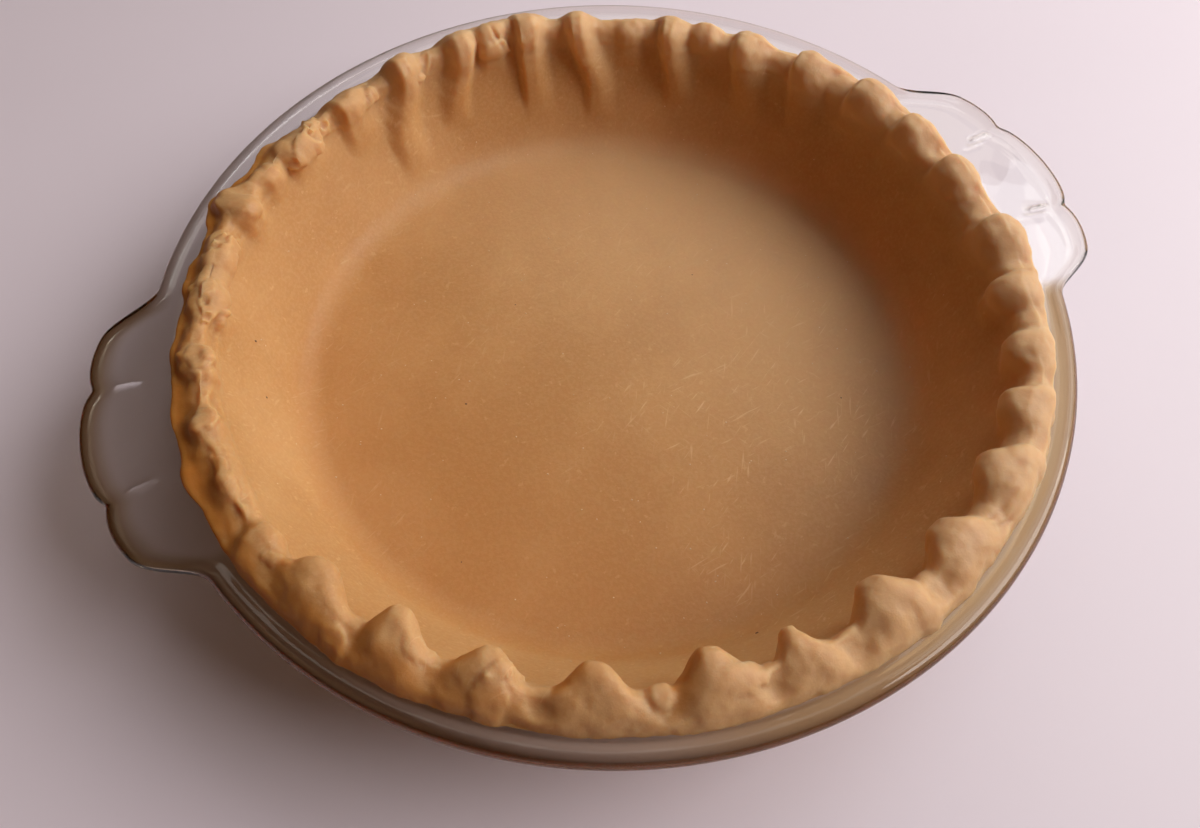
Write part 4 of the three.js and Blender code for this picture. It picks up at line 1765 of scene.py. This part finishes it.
LAMPS = (
    Lamp("window_light", -25, 40, 1.75, 38.3, (1.0, 1.0, 0.98), 2.4),
    Lamp("low_window_light", 10, 28, 0.8, 2.6, (0.97, 1.0, 0.90), 1.1),
    Lamp("near_light", 10, 50, 0.45, 0.92, (0.90, 0.96, 1.0), 0.65),
    Lamp("far_light", 60, 40, 0.8, 1.55, (1.0, 0.95, 0.85), 1.1),
    Lamp("warm_fill", 190, 42, 0.9, 0.62, (1.0, 0.62, 0.28), 1.3),
    Lamp("room_fill", 262, 30, 1.2, 0.45, (1.0, 0.80, 0.58), 1.4),
)


@dataclass
class Studio:
    """The table, the lights and the camera. Plane is the height of the rim, which the camera looks at."""

    plane: float
    azimuth: float = -20.84
    elevation: float = 59.13
    distance: float = 258.6
    slide_right: float = -2.8
    slide_up: float = -35.0
    lens: float = 27.82
    sensor: float = 36.0
    nearest: float = 0.01
    floor_size: float = 6.0
    room: Colour = (1.0, 0.7, 0.48)
    room_strength: float = 0.024
    backdrop: Colour = (0.15, 0.12, 0.12)

    def floor(self) -> None:
        """Lays the pale floor under the dish."""
        Bench.clear()
        bpy.ops.mesh.primitive_plane_add(size=self.floor_size, location=(0, 0, 0))
        floor = bpy.context.object
        floor.name = "pale_floor"
        floor.data.materials.append(PALE_TABLE.material())

    def surroundings(self) -> None:
        """Gives the room its weak warm light, and a dark backdrop that only the camera sees."""
        world = bpy.data.worlds.new("room")
        world.use_nodes = True
        graph = Graph(world.node_tree)
        nodes = world.node_tree.nodes
        room = nodes["Background"]
        graph.fill(room, Color=self.room, Strength=self.room_strength)
        backdrop = graph.add("ShaderNodeBackground", Color=self.backdrop)
        choice = graph.add("ShaderNodeMixShader")
        seen = graph.add("ShaderNodeLightPath").outputs["Is Camera Ray"]
        for socket, source in zip(choice.inputs, (seen, room.outputs[0], backdrop.outputs[0])):
            graph.feed(socket, source)
        graph.fill(nodes["World Output"], Surface=choice.outputs[0])
        bpy.context.scene.world = world
        bpy.context.scene.view_settings.view_transform = "Standard"

    def camera(self) -> None:
        """Sets the camera where the object is looked at from above its front left."""
        turn, lift = math.radians(self.azimuth), math.radians(self.elevation)
        back = Vector((math.sin(turn) * math.cos(lift), -math.cos(turn) * math.cos(lift), math.sin(lift)))
        right = Vector((0, 0, 1)).cross(back).normalized()
        up = back.cross(right)
        place = back * self.distance + right * self.slide_right + up * self.slide_up
        place.z += self.plane
        data = bpy.data.cameras.new("camera")
        data.sensor_width = self.sensor
        data.lens = self.lens
        data.clip_start = self.nearest
        camera = bpy.data.objects.new("camera", data)
        bpy.context.scene.collection.objects.link(camera)
        camera.location = place * MM
        camera.rotation_mode = "QUATERNION"
        camera.rotation_quaternion = back.to_track_quat("Z", "Y")
        bpy.context.scene.camera = camera

    def build(self) -> None:
        """Builds the whole studio."""
        self.floor()
        self.surroundings()
        for lamp in LAMPS:
            lamp.hang()
        self.camera()


def main() -> None:
    """Builds the studio, the dish, the pastry and its flecks in order, and logs each piece's triangle count.
    """
    logging.basicConfig(level=logging.INFO, format="%(name)s: %(message)s")
    section = DishSection()
    Studio(plane=section.height).build()
    dish = GlassDish(section).build()
    Bench.hand_over(dish, Slot.GLASS, GlassFinish().material(), "glass_dish")
    shell = PastryShell(section).build()
    Bench.hand_over(shell, Slot.PASTRY, DoughFinish().material(), "pastry_shell")
    bran = Flecks("bran_specks", BRAN).build(shell)
    Bench.hand_over(bran, Slot.PASTRY, DARK_BRAN.material())
    spots = Flecks.scattered(count=150, reach=103, small=0.14, large=0.28, seed=23)
    flour = Flecks("flour_flecks", spots).build(shell)
    Bench.hand_over(flour, Slot.PASTRY, PALE_FLOUR.material())


if __name__ == "__main__":
    main()
